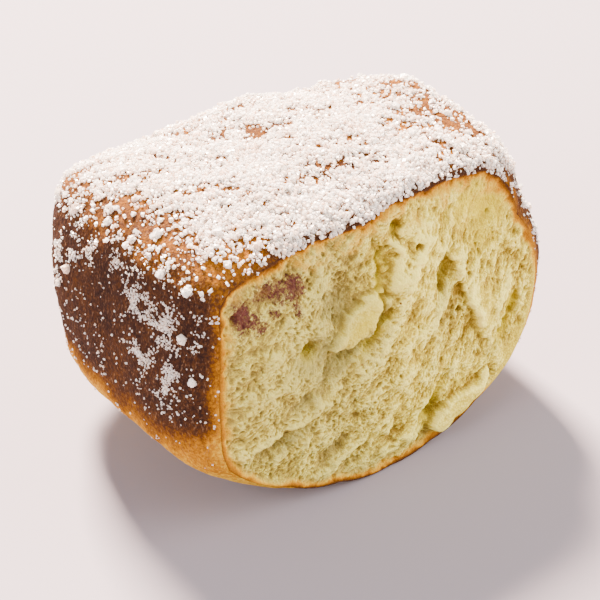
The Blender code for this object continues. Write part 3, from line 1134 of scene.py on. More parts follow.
@dataclass
class Crust:
    """Baked outside of the bun, closed behind the crumb, with how brown each part of it is."""

    form: BunForm
    cover: SugarCover
    edge_steps: int = 150
    depth_rows: int = 140
    first_rows: float = 0.35
    drift: float = 0.7
    wrinkle: float = 0.16
    lip_depth: float = 1.5
    lip_scale: float = 0.985
    cap_depth: float = 8.0
    cap_scale: float = 0.96
    top_brown: float = 0.61
    seam_brown: float = 0.19
    spot_brown: float = 0.10
    low_brown: float = 0.24
    side_brown: float = 0.59
    side_frost: float = 0.42
    bake_seed: int = 47
    wrinkle_seed: int = 61
    spots: tuple[Shape, ...] = (
        (-8.4, 9.0, 4.0, 3.0, 10.0),
        (-3.5, 4.6, 4.0, 3.0, 0.0),
        (3.0, 3.6, 4.0, 3.0, -30.0),
        (2.6, -19.0, 9.0, 2.4, -38.0),
        (31.0, -23.0, 5.0, 4.0, 30.0),
    )

    def lattice(self) -> tuple[Array, Array, Array]:
        """Places of the crust's points.

        Returns:
            Two coordinates on the square's edge, and the depth.
        """
        across, upward = square_ring(self.edge_steps)
        share = np.arange(self.depth_rows) / self.depth_rows
        depth = self.first_rows * share + (1 - self.first_rows) * share**2
        rows = self.depth_rows
        return np.tile(across, rows), np.tile(upward, rows), np.repeat(depth, len(across))

    def outward(self, grid: Array) -> Array:
        """Outward directions of a grid of points.

        Args:
            grid: Rows by points round by three coordinates.

        Returns:
            Unit vectors in the same layout.
        """
        deeper = np.gradient(grid, axis=0)
        beside = np.roll(grid, -1, axis=1) - np.roll(grid, 1, axis=1)
        normal = np.cross(beside, deeper)
        away = grid - np.array([0.0, 0.0, self.form.belt_height])
        normal *= np.sign((normal * away).sum(axis=2, keepdims=True))
        return normal / np.maximum(np.linalg.norm(normal, axis=2, keepdims=True), 1e-12)

    def bake(self, points: Array, up: Array, behind: Array) -> Array:
        """How brown the crust is, with painted bounce light low on the sides.

        Args:
            points: Points in millimetres.
            up: How much each one faces up.
            behind: Distance behind the tear.

        Returns:
            Amount from 0 to 1.
        """
        noise = Noise(self.bake_seed)
        x, y, z = points[:, 0], points[:, 1], points[:, 2]
        wavy = noise.octaves((x + y) / 14.0, z / 14.0, 3)
        flat = ease((up - 0.15) / 0.6)
        low = ease((z + 3.0 * wavy - 14.0) / 16.0)
        high = ease((61.0 + 2.0 * wavy - z) / 9.0)
        band = ease((behind + 0.6 * wavy + 0.3) / 2.6)
        dark = self.side_brown * low * (0.30 + 0.70 * band) * (0.24 + 0.76 * high)
        side = self.low_brown + dark + 0.04 * wavy
        # Painted light: the side is kept lighter low down, by the low factor above and the step
        # here, for light bounced up from the floor.
        side = side - 0.17 * ease((20.0 - z) / 14.0)
        side = side + 0.20 * np.exp(-behind / 1.5) * ease((15.0 - z) / 6.0)
        left = np.exp(-((np.maximum(x + 44.0, 0.0) / 5.5) ** 2))
        seam = self.seam_brown * np.exp(-behind / 1.4)
        top = self.top_brown + 0.06 * wavy + 0.05 * left + seam
        top = top + 0.04 * ease((-24.0 - x) / 8.0)
        top = top - 0.15 * mound(x, y, (-34.0, -29.0, 9.0, 6.0, 0.0))
        for shape in self.spots:
            top = top + self.spot_brown * mound(x, y, shape)
        return np.clip(top * flat + side * (1 - flat), 0.0, 1.0)

    def build(self) -> bpy.types.Object:
        """Crust, turned in at the tear and closed by a hidden cap.

        Returns:
            One closed mesh with its masks.
        """
        across, upward, depth = self.lattice()
        around = 4 * self.edge_steps
        points = self.form.skin(across, upward, depth)
        grid = points.reshape(self.depth_rows, around, 3)
        normal = self.outward(grid).reshape(-1, 3)
        behind = (grid[:, :, 1] - grid[:1, :, 1]).reshape(-1)
        frost = self.cover.top(points, normal[:, 2], behind)
        sides = self.cover.sides(points, normal[:, 2])
        bake = self.bake(points, normal[:, 2], behind)
        noise = Noise(self.wrinkle_seed)
        x, y, z = points[:, 0], points[:, 1], points[:, 2]
        heap = 0.5 + 0.6 * noise.octaves(x / 4.2, y / 3.2, 4)
        crinkle = noise.octaves((x + y) / 3.4, z / 3.4, 4) * (1 - frost)
        lift = self.drift * frost * np.clip(heap, 0.0, 1.5) + self.wrinkle * crinkle
        fade = ease(behind / 1.6) * ease((1.0 - depth) * 12.0)
        points = points + normal * (lift * fade)[:, None]
        count = len(points)
        rim = points[:around]
        cap_y = self.cap_depth - self.form.half_depth
        hidden = [
            self.form.skin(np.zeros(1), np.ones(1), np.ones(1)),
            self.form.shrunk(rim, self.lip_scale, rim[:, 1] + self.lip_depth),
            self.form.shrunk(rim, self.cap_scale, cap_y),
            np.array([[0.0, cap_y, self.form.belt_height]]),
        ]
        rows = np.arange(count).reshape(self.depth_rows, around)
        lip, cap = count + 1 + np.arange(around), count + 1 + around + np.arange(around)
        pole, centre = np.full(around, count), np.full(around, count + 1 + 2 * around)
        faces = ring_faces(cap, lip) + ring_faces(lip, rows[0])
        for before, beyond in zip(rows[:-1], rows[1:]):
            faces += ring_faces(before, beyond)
        faces += index_rows(np.roll(rows[-1], -1), rows[-1], pole)
        faces += index_rows(cap, np.roll(cap, -1), centre)
        every = np.vstack([points, *hidden])
        masks = {
            "frost": np.maximum(frost, self.side_frost * sides),
            "top_sugar": frost,
            "side_sugar": sides,
            "bake": bake,
        }
        for label, values in masks.items():
            rest = [float(values[-around:].mean()), *[0.0] * (len(every) - count - 1)]
            masks[label] = np.concatenate([values, rest])
        return make_piece("crust", self.form.set_down(every), faces, masks)


@dataclass
class Crumb:
    """Torn face: fluffy dough with pores, strands, a tongue, a thin flake and a stain.

    Rows of swells, stains and spots hold a middle, two radii, a turn in degrees and a height or
    strength. Strands and ledges run between two points, with a width and a height.
    """

    form: BunForm
    steps: int = 300
    crown: float = 1.4
    grain: float = 0.5
    tongue_height: float = 1.7
    flake_height: float = 1.8
    ledge_drop: float = 0.55
    pore_depth: float = 0.52
    fibre_depth: float = 0.34
    skirt_depth: float = 1.2
    skirt_scale: float = 0.992
    back_depth: float = 6.5
    back_scale: float = 0.975
    middle_level: float = 0.60
    seed: int = 71
    pores: tuple[Point3, ...] = ((2.2, 1.0, 0.80), (1.05, 0.8, 0.3), (0.68, 0.65, 0.0))
    swells: tuple[Shape, ...] = (
        (6.0, 34.0, 9.0, 20.0, -18.0, 2.0),
        (-27.0, 32.0, 11.0, 9.0, 0.0, 1.4),
        (-7.0, 46.8, 6.4, 5.4, 20.0, -1.3),
        (-11.6, 42.6, 3.8, 3.8, 0.0, -2.2),
        (-19.4, 36.8, 2.6, 1.8, 0.0, -2.8),
        (-14.0, 31.6, 4.6, 2.0, 20.0, -2.2),
        (14.0, 40.8, 4.4, 1.7, 66.0, -2.6),
        (26.0, 50.0, 6.0, 5.0, 0.0, -2.2),
        (33.8, 24.9, 2.2, 1.2, 60.0, -1.8),
        (30.8, 21.4, 2.6, 1.4, 60.0, -1.8),
        (10.2, 10.8, 4.4, 1.5, 56.0, -2.2),
        (-28.0, 50.0, 6.5, 2.6, 0.0, -1.0),
        (-27.5, 19.4, 8.5, 1.5, 12.0, -1.5),
        (-14.5, 12.0, 4.6, 1.6, 36.0, -1.5),
        (-9.8, 17.2, 2.4, 1.6, 20.0, -1.2),
        (-21.5, 27.2, 4.8, 1.2, 14.0, -1.2),
        (3.4, 54.0, 1.6, 1.6, 0.0, -1.8),
        (2.4, 50.8, 1.2, 1.9, 30.0, 1.6),
        (-0.4, 9.4, 6.0, 1.6, 20.0, -1.1),
    )
    strands: tuple[tuple[Point2, Point2, float, float], ...] = (
        ((13.0, 56.0), (-6.0, 27.0), 3.0, 0.9),
        ((-37.0, 19.8), (-14.0, 25.6), 1.5, 1.3),
        ((-20.0, 7.2), (-8.0, 11.0), 1.4, 1.3),
        ((-3.0, 5.0), (8.4, 7.0), 1.2, 1.1),
        ((-0.3, 51.0), (-2.5, 42.2), 0.6, -1.0),
        ((-0.6, 38.6), (-4.8, 34.2), 0.7, -2.0),
        ((-4.8, 34.2), (-11.6, 31.6), 0.7, -1.8),
    )
    ledges: tuple[tuple[Point2, Point2, float, float], ...] = (
        ((3.4, 50.4), (-1.0, 40.4), 4.2, 1.6),
        ((16.4, 41.4), (24.2, 21.9), 4.2, 1.7),
        ((24.4, 21.7), (31.4, 30.4), 3.2, 1.4),
    )
    tongue: tuple[Point2, ...] = (
        (-1.4, 43.2), (-2.6, 40.4), (-4.8, 37.2), (-8.0, 34.9), (-11.2, 33.3), (-15.6, 35.4),
        (-13.2, 37.2), (-10.8, 39.4), (-8.4, 41.0), (-4.8, 42.4),
    )
    flake: tuple[Point2, ...] = (
        (25.6, 13.2), (21.2, 11.8), (16.9, 11.4), (13.4, 10.6), (11.6, 8.7), (9.0, 6.4),
        (12.5, 4.3), (17.5, 5.7), (21.5, 7.6),
    )
    pits: tuple[tuple[float, float, float, float], ...] = (
        (-19.8, 36.6, 1.3, 2.6),
        (-14.6, 34.0, 0.6, 1.2),
        (-12.6, 40.0, 0.8, 1.2),
        (-14.4, 45.4, 0.7, 1.0),
        (3.4, 54.9, 0.7, 1.4),
        (-2.4, 42.0, 0.7, 1.2),
        (17.3, 31.0, 0.8, 1.3),
        (11.9, 30.2, 1.0, 0.9),
        (7.6, 49.0, 0.8, 1.1),
        (28.2, 47.6, 0.4, 0.9),
        (-35.0, 49.0, 0.9, 0.9),
        (10.0, 9.0, 0.9, 1.0),
        (12.6, 37.6, 0.8, 1.2),
        (33.4, 22.8, 0.7, 1.0),
    )
    stains: tuple[Shape, ...] = (
        (-33.2, 48.8, 2.2, 3.4, -12.0, 1.25),
        (-31.2, 47.2, 2.4, 1.9, 0.0, 0.95),
        (-34.2, 52.0, 1.2, 1.8, 0.0, 0.95),
        (-27.6, 52.0, 3.4, 2.6, 10.0, 1.05),
        (-24.4, 50.4, 3.0, 2.4, 0.0, 0.95),
        (-21.2, 50.4, 2.5, 3.0, -20.0, 1.15),
        (-21.4, 46.6, 1.2, 2.2, 0.0, 0.85),
        (-26.2, 46.9, 1.4, 1.5, 0.0, 0.85),
        (-29.4, 45.2, 2.6, 1.1, 20.0, 0.75),
    )
    smooth_spots: tuple[Shape, ...] = (
        (-34.0, 54.0, 5.0, 3.0, 0.0, 0.5),
        (27.0, 51.0, 7.0, 5.5, 0.0, 0.95),
        (24.4, 27.4, 3.0, 6.0, 0.0, 0.85),
        (32.5, 13.5, 3.0, 5.0, -30.0, 0.8),
        (1.4, 45.4, 4.2, 0.9, 64.0, 0.35),
    )
    shade_spots: tuple[Shape, ...] = (
        (-11.6, 42.4, 5.0, 4.0, 0.0, 0.42),
        (-7.4, 48.4, 5.6, 4.2, 20.0, 0.12),
        (-2.2, 38.0, 3.6, 0.9, 57.0, 0.9),
        (-7.0, 33.4, 3.8, 0.9, 27.0, 0.85),
        (-18.0, 35.6, 5.0, 3.4, 10.0, 0.7),
        (-13.4, 31.4, 5.4, 2.6, 20.0, 0.8),
        (-4.6, 33.6, 5.0, 1.4, 40.0, 0.6),
        (13.6, 37.6, 4.4, 2.4, 66.0, 0.5),
        (14.0, 29.0, 6.0, 3.0, 60.0, 0.3),
        (-26.0, 18.6, 8.0, 1.8, 12.0, 0.45),
        (-15.0, 11.6, 5.0, 1.8, 36.0, 0.45),
        (-21.5, 26.4, 5.4, 1.8, 14.0, 0.4),
        (10.4, 10.6, 4.6, 2.0, 56.0, 0.45),
        (27.0, 17.0, 4.0, 2.2, 60.0, 0.3),
    )
    # Deeper yellow dough: partly its own tone at the upper right, partly painted shade in the
    # dents, along the crack and along the flap's edge.
    yellow_spots: tuple[Shape, ...] = (
        (28.5, 50.5, 6.0, 6.0, 0.0, 0.95),
        (22.0, 52.5, 6.5, 3.6, 0.0, 0.7),
        (25.5, 44.0, 5.0, 4.4, 0.0, 0.45),
        (33.8, 24.9, 2.4, 1.5, 60.0, 1.3),
        (30.6, 21.0, 3.4, 1.7, 60.0, 1.2),
        (10.2, 10.8, 4.8, 1.6, 56.0, 1.2),
        (-1.0, 48.6, 2.6, 4.2, 20.0, 0.4),
        (-1.6, 45.6, 5.4, 0.9, 78.0, 1.0),
        (-4.4, 34.0, 5.0, 0.9, 40.0, 0.8),
        (-7.0, 37.6, 6.5, 2.4, 34.0, 0.75),
        (-19.8, 36.6, 1.8, 1.5, 0.0, 1.0),
        (14.0, 40.6, 4.0, 1.5, 66.0, 0.5),
        (3.2, 53.6, 1.2, 1.2, 0.0, 0.9),
        (36.0, 14.0, 3.0, 9.0, -30.0, 0.5),
    )

    def main_form(self, x: Array, z: Array, edge: Array) -> Array:
        """Relief that the solid has too.

        Args:
            x: Place along the face.
            z: Height on the face.
            edge: Distance from the crust.

        Returns:
            How far the crumb stands out.
        """
        out = self.crown * ease(edge / 22.0)
        noise = Noise(self.seed + 6)
        warp = 0.7 * noise.octaves(x / 3.6, z / 3.6, 3)
        x, z = x + warp, z + 0.7 * noise.octaves(x / 3.6 + 30.0, z / 3.6, 3)
        for swell in self.swells:
            out = out + swell[5] * mound(x, z, swell[:5])
        for start, end, width, height in self.strands:
            gap, share = near_line(x, z, start, end)
            taper = 0.45 + 0.55 * np.sin(math.pi * np.clip(share, 0.08, 0.92))
            out = out + height * taper * np.exp(-((gap / width) ** 2))
        for start, end, width, height in self.ledges:
            gap, share = near_line(x, z, start, end)
            side = (end[0] - start[0]) * (z - start[1]) - (end[1] - start[1]) * (x - start[0])
            reach = np.where(side > 0, width, self.ledge_drop)
            taper = np.sin(math.pi * np.clip(share, 0.1, 0.9)) ** 0.6
            out = out + height * taper * np.exp(-((gap / reach) ** 2))
        out = out + self.tongue_height * ease((inside_depth(x, z, self.tongue) + 0.3) / 0.8)
        out = out + self.flake_height * ease((inside_depth(x, z, self.flake) + 0.25) / 0.6)
        along, beside = x * 0.62 + z * 0.78, x * 0.78 - z * 0.62
        out = out + self.grain * value_noise(along, beside * 2.0, 6.0, self.form.relief_seed)
        return out + self.grain * 0.7 * value_noise(x, z, 2.6, self.form.relief_seed + 1)

    def smoothness(self, x: Array, z: Array, edge: Array) -> Array:
        """How far the dough is stretched smooth, without pores.

        Args:
            x: Place along the face.
            z: Height on the face.
            edge: Distance from the crust.

        Returns:
            Smoothness from 0 to 1.
        """
        level = 0.8 * ease((inside_depth(x, z, self.tongue) + 0.3) / 1.0)
        level = np.maximum(level, ease((inside_depth(x, z, self.flake) + 0.4) / 0.8))
        level = np.maximum(level, self.tally(x, z, self.smooth_spots))
        return np.maximum(level, 0.9 * ease((1.6 - edge) / 1.4))

    def foam(self, x: Array, z: Array, angle: float, stretch: float, seed: int) -> Array:
        """Pores and fibres pulled out along one direction.

        Args:
            x: Place along the face.
            z: Height on the face.
            angle: Direction of the pull in degrees.
            stretch: How many times longer than wide the pores are.
            seed: Seed of the pattern.

        Returns:
            Heights in millimetres, mostly negative.
        """
        noise = Noise(seed)
        warp = noise.octaves(x / 6.0, z / 6.0, 2)
        bend = noise.octaves(x / 7.0 + 40.0, z / 7.0 + 9.0, 2)
        along, beside = turned(x + 1.1 * warp, z + 1.1 * bend, angle)
        total = np.zeros(np.shape(x))
        for width, depth, rarity in self.pores:
            across = along / (width * stretch) + width * 9.1
            first, second, level = noise.cells(across, beside / width)
            bowl = ease((second - first) / 0.62)
            total = total - self.pore_depth * depth * bowl * ease((level - rarity) / 0.5)
        thread = noise.octaves(along / (2.6 * stretch), beside / 0.95, 3)
        return total - self.fibre_depth * np.abs(thread) * stretch / 1.6

    def pull(self, x: Array, z: Array) -> tuple[Array, Array]:
        """Where the dough was torn steeply, and where nearly level."""
        right = ease((x + 2.0 - 0.2 * (z - 30.0)) / 12.0) * ease((z - 10.0) / 8.0)
        return right, ease((17.0 - z + 0.1 * x) / 8.0) * (1 - right)

    def streaks(self, x: Array, z: Array) -> Array:
        """Soft lighter and darker bands along the pull.

        Args:
            x: Place along the face.
            z: Height on the face.

        Returns:
            Tones from about -1 to 1.
        """
        noise = Noise(self.seed + 5)
        right, low = self.pull(x, z)
        total = np.zeros(np.shape(x))
        for share, angle in ((1 - right - low, 35.0), (right, 63.0), (low, 16.0)):
            along, beside = turned(x, z, angle)
            total = total + share * noise.octaves(along / 9.0, beside / 2.4, 4)
        return total

    def detail(self, x: Array, z: Array, edge: Array) -> Array:
        """Fine relief of the torn dough.

        Args:
            x: Place along the face.
            z: Height on the face.
            edge: Distance from the crust.

        Returns:
            Heights in millimetres.
        """
        right, low = self.pull(x, z)
        pulls = ((1 - right - low, 35.0, 1.15), (right, 64.0, 1.8), (low, 14.0, 1.9))
        out = np.zeros(np.shape(x))
        for number, (share, angle, stretch) in enumerate(pulls):
            out = out + share * self.foam(x, z, angle, stretch, self.seed + number)
        fluff = Noise(self.seed + 3).octaves(x / 3.4, z / 3.4, 4)
        out = out + 0.35 * fluff
        out = out * (1 - 0.74 * self.smoothness(x, z, edge))
        for pit_x, pit_z, radius, depth in self.pits:
            gap = np.hypot(x - pit_x, z - pit_z) / radius
            out = out - depth * np.exp(-(gap**3))
        return out * ease(edge / 1.3)

    def toast(self, x: Array, z: Array, edge: Array) -> Array:
        """Browning where the crumb meets the crust.

        Args:
            x: Place along the face.
            z: Height on the face.
            edge: Distance from the crust.

        Returns:
            Amount from 0 to 1.
        """
        noise = Noise(self.seed + 4)
        wavy = np.maximum(1 + 1.1 * noise.octaves(x / 3.4, z / 3.4, 3), 0.3)
        top = ease((z - 44.0) / 8.0) * (1 - 0.5 * ease((-x - 24.0) / 9.0))
        left = ease((-x - 28.0) / 8.0) * (1 - 0.6 * top) * ease((z - 8.0) / 8.0)
        right = ease((x - 30.0) / 5.0) * ease((z - 27.0) / 12.0) * (1 - top)
        bottom = ease((14.0 - z) / 8.0) * ease((30.0 - x) / 12.0)
        out = 0.08 * np.exp(-((edge / 1.2) ** 2))
        for share, near, reach, far, fade in (
            (top, 0.38, 0.9, 0.34, 3.2 * wavy),
            (left, 0.24, 1.3, 0.20, 2.2),
            (right, 0.30, 0.9, 0.10, 2.5),
            (bottom, 0.40, 0.9, 0.26, 1.9),
        ):
            band = near * np.exp(-((edge / (reach * wavy)) ** 2))
            out = out + share * (band + far * np.exp(-edge / fade))
        return np.clip(out, 0.0, 1.0)

    def painted_shade(self, x: Array, z: Array, edge: Array) -> Array:
        """Painted shade: a dull olive tone in the hollows, over the whole left half and along the
        bottom, where the face gets less light.

        Args:
            x: Place along the face.
            z: Height on the face.
            edge: Distance from the crust.

        Returns:
            Strength from 0 to about 1.
        """
        left = 0.50 * ease((8.0 - x) / 22.0) * (0.7 + 0.3 * ease((z - 14.0) / 20.0))
        left = left + 0.35 * ease((9.0 - z) / 6.0)
        # Painted shade in the hollows, placed by the shade spots.
        hollows = self.tally(x, z, self.shade_spots) * (0.75 + 0.35 * self.streaks(x, z))
        return np.clip(left + hollows * (1 - self.smoothness(x, z, edge)), 0.0, 0.85)

    def tally(self, x: Array, z: Array, spots: tuple[Shape, ...]) -> Array:
        """Highest of several soft spots at each point.

        Args:
            x: Place along the face.
            z: Height on the face.
            spots: Middle, radii, turn and strength of each spot.

        Returns:
            Strength from 0 to about 1.
        """
        level = np.zeros(np.shape(x))
        for spot in spots:
            level = np.maximum(level, spot[5] * mound(x, z, spot[:5]))
        return level

    def blurred(self, grid: Array, reach: int) -> Array:
        """Grid smoothed by three passes of a running mean.

        Args:
            grid: Values on the square grid.
            reach: Cells to each side that a pass takes in.

        Returns:
            The smoothed grid.
        """
        kernel = np.ones(2 * reach + 1) / (2 * reach + 1)
        for _ in range(3):
            for axis in (0, 1):
                border = [(reach, reach) if a == axis else (0, 0) for a in (0, 1)]
                wide = np.pad(grid, border, "edge")
                grid = np.apply_along_axis(np.convolve, axis, wide, kernel, "valid")
        return grid

    def face_points(self) -> tuple[Array, Array, dict[str, Array]]:
        """Torn face with all its relief.

        Returns:
            Its points, the grid of their indices and their masks.
        """
        wide = self.steps + 1
        shares = np.linspace(-1.0, 1.0, wide)
        column, row = (part.reshape(-1) for part in np.meshgrid(shares, shares, indexing="ij"))
        reach = np.maximum(np.maximum(np.abs(column), np.abs(row)), 1e-6)
        row = np.where(reach > 1e-6, row, 1e-6)
        rim = self.form.skin(column / reach, row / reach, np.zeros(len(reach)))
        belt = self.form.belt_height
        x = rim[:, 0] * reach
        z = belt + (rim[:, 2] - belt) * reach
        edge = (1 - reach) * np.hypot(rim[:, 0], rim[:, 2] - belt)
        plane = -self.form.half_depth - self.form.face_slope * (0.5 - z / self.form.top_height)
        blend = ease(edge / 3.0)
        relief = self.main_form(x, z, edge) * ease((edge - 0.3) / 3.2) + self.detail(x, z, edge)
        y = plane * blend + rim[:, 1] * (1 - blend) - relief
        points = np.stack([x, y, z], axis=1)
        self.match_crust(points.reshape(wide, wide, 3))
        relief = relief.reshape(wide, wide)
        # Painted shade and highlight: the level mask darkens the crumb where its relief lies below
        # its blurred surroundings and lightens it where it stands above, at three sizes.
        near, far, broad = (relief - self.blurred(relief, reach) for reach in (2, 7, 20))
        steep, smooth = self.pull(x, z)[0], self.smoothness(x, z, edge)
        drift = 0.28 * self.streaks(x, z) * (1 - 0.7 * smooth)
        near = near * (0.95 - 0.50 * steep.reshape(wide, wide))
        level = (self.middle_level + near + 0.38 * far + 0.14 * broad).reshape(-1) + drift
        level = level + (self.middle_level - level) * 0.7 * smooth
        masks = {
            "level": level,
            "steep": steep,
            "smooth": smooth,
            "toast": self.toast(x, z, edge),
            "stain": self.tally(x, z, self.stains),
            "yellow": self.tally(x, z, self.yellow_spots),
            "grey": self.painted_shade(x, z, edge),
        }
        return points, np.arange(wide * wide).reshape(wide, wide), masks

    def match_crust(self, grid: Array) -> None:
        """Puts every second point of the edge halfway between its neighbours on the crust."""
        for line in (grid[0], grid[-1], grid[:, 0], grid[:, -1]):
            line[1::2] = (line[:-1:2] + line[2::2]) / 2

    def build(self) -> bpy.types.Object:
        """Torn face with a slab behind it, whose edge is the crust's own.

        Returns:
            One closed mesh with its masks.
        """
        points, index, masks = self.face_points()
        corners = (index[:-1, :-1], index[1:, :-1], index[1:, 1:], index[:-1, 1:])
        faces = index_rows(*(part.reshape(-1) for part in corners))
        ring = np.concatenate([index[:-1, 0], index[-1, :-1], index[:0:-1, -1], index[0, :0:-1]])
        count, around = len(points), len(ring)
        border = points[ring]
        back_y = self.back_depth - self.form.half_depth
        hidden = [
            self.form.shrunk(border, self.skirt_scale, border[:, 1] + self.skirt_depth),
            self.form.shrunk(border, self.back_scale, back_y),
            np.array([[0.0, back_y, self.form.belt_height]]),
        ]
        every = np.vstack([points, *hidden])
        skirt, back = count + np.arange(around), count + around + np.arange(around)
        faces += ring_faces(ring, skirt) + ring_faces(skirt, back)
        faces += index_rows(np.roll(back, -1), back, np.full(around, len(every) - 1))
        rest = np.zeros(len(every) - count)
        masks = {label: np.concatenate([values, rest]) for label, values in masks.items()}
        return make_piece("crumb", self.form.set_down(every), faces, masks)


@dataclass(frozen=True)
class Strewing:
    """How one kind of sugar is strewn, with lengths in millimetres."""

    name: str
    mask: str
    count: int
    smallest: float
    largest: float
    lift: float
    seed: int


class SugarKind(enum.Enum):
    """Kinds of strewn sugar."""

    DUST = Strewing("sugar_dust", "top_sugar", 8500, 0.22, 0.38, 0.30, 5)
    FINE = Strewing("sugar_fine", "top_sugar", 12500, 0.38, 0.60, 0.45, 6)
    COARSE = Strewing("sugar_coarse", "top_sugar", 7500, 0.56, 0.84, 0.60, 7)
    SIDE = Strewing("sugar_side", "side_sugar", 4700, 0.20, 0.52, 0.14, 8)


@dataclass
class Crystals:
    """Small set of chipped sugar crystals one millimetre long, to be strewn or set down."""

    name: str
    variants: int = 7
    seed: int = 91

    def points(self, random: np.random.Generator, size: float) -> Array:
        """Corner points of one crystal.

        Args:
            random: Source of its unevenness.
            size: Length in metres.

        Returns:
            One row of three coordinates for each corner.
        """
        signs = [(a, b, c) for a in (-1, 1) for b in (-1, 1) for c in (-1, 1)]
        corners = np.array(signs, float)
        corners *= 1 + random.uniform(-0.3, 0.05, corners.shape)
        stretch = np.array([1.0, random.uniform(0.7, 1.0), random.uniform(0.6, 0.9)])
        return corners * stretch * size / 2

    def collection(self) -> bpy.types.Collection:
        """Makes the crystals, one object each.

        Returns:
            The collection that holds them.
        """
        random = np.random.default_rng(self.seed)
        kept = bpy.data.collections.new(self.name)
        for number in range(self.variants):
            mesh = bpy.data.meshes.new(f"{self.name}_{number}")
            grid = bmesh.new()
            self.fill(grid, random)
            grid.to_mesh(mesh)
            grid.free()
            kept.objects.link(bpy.data.objects.new(f"{self.name}_{number}", mesh))
        return kept

    def fill(self, grid: bmesh.types.BMesh, random: np.random.Generator) -> None:
        """Puts one crystal in an empty mesh."""
        self.hull(grid, self.points(random, MM))

    def hull(self, grid: bmesh.types.BMesh, points: Array) -> None:
        """Adds the closed hull of some points to a mesh.

        Args:
            grid: The mesh.
            points: The points in metres.
        """
        made = [grid.verts.new(point) for point in points.tolist()]
        bmesh.ops.convex_hull(grid, input=made)
        idle = [vertex for vertex in made if not vertex.link_faces]
        bmesh.ops.delete(grid, geom=idle, context="VERTS")
        bmesh.ops.recalc_face_normals(grid, faces=grid.faces)


@dataclass
class Clumps(Crystals):
    """Lumps of crystals stuck together, one millimetre across."""

    grains: int = 11
    ball: float = 0.27
    grain_size: float = 0.46
    spiral_turn: float = 2.39996

    def fill(self, grid: bmesh.types.BMesh, random: np.random.Generator) -> None:
        """Puts one lump in an empty mesh.

        Args:
            grid: The empty mesh.
            random: Source of its unevenness.
        """
        for number in range(self.grains):
            height = 1 - 2 * (number + 0.5) / self.grains
            turn = number * self.spiral_turn + random.uniform(-0.3, 0.3)
            flat = math.sqrt(1 - height * height)
            centre = np.array([flat * math.cos(turn), flat * math.sin(turn), height * 0.85])
            spin, _ = np.linalg.qr(random.normal(size=(3, 3)))
            size = self.grain_size * random.uniform(0.75, 1.15) * MM
            self.hull(grid, self.points(random, size) @ spin + centre * self.ball * MM)


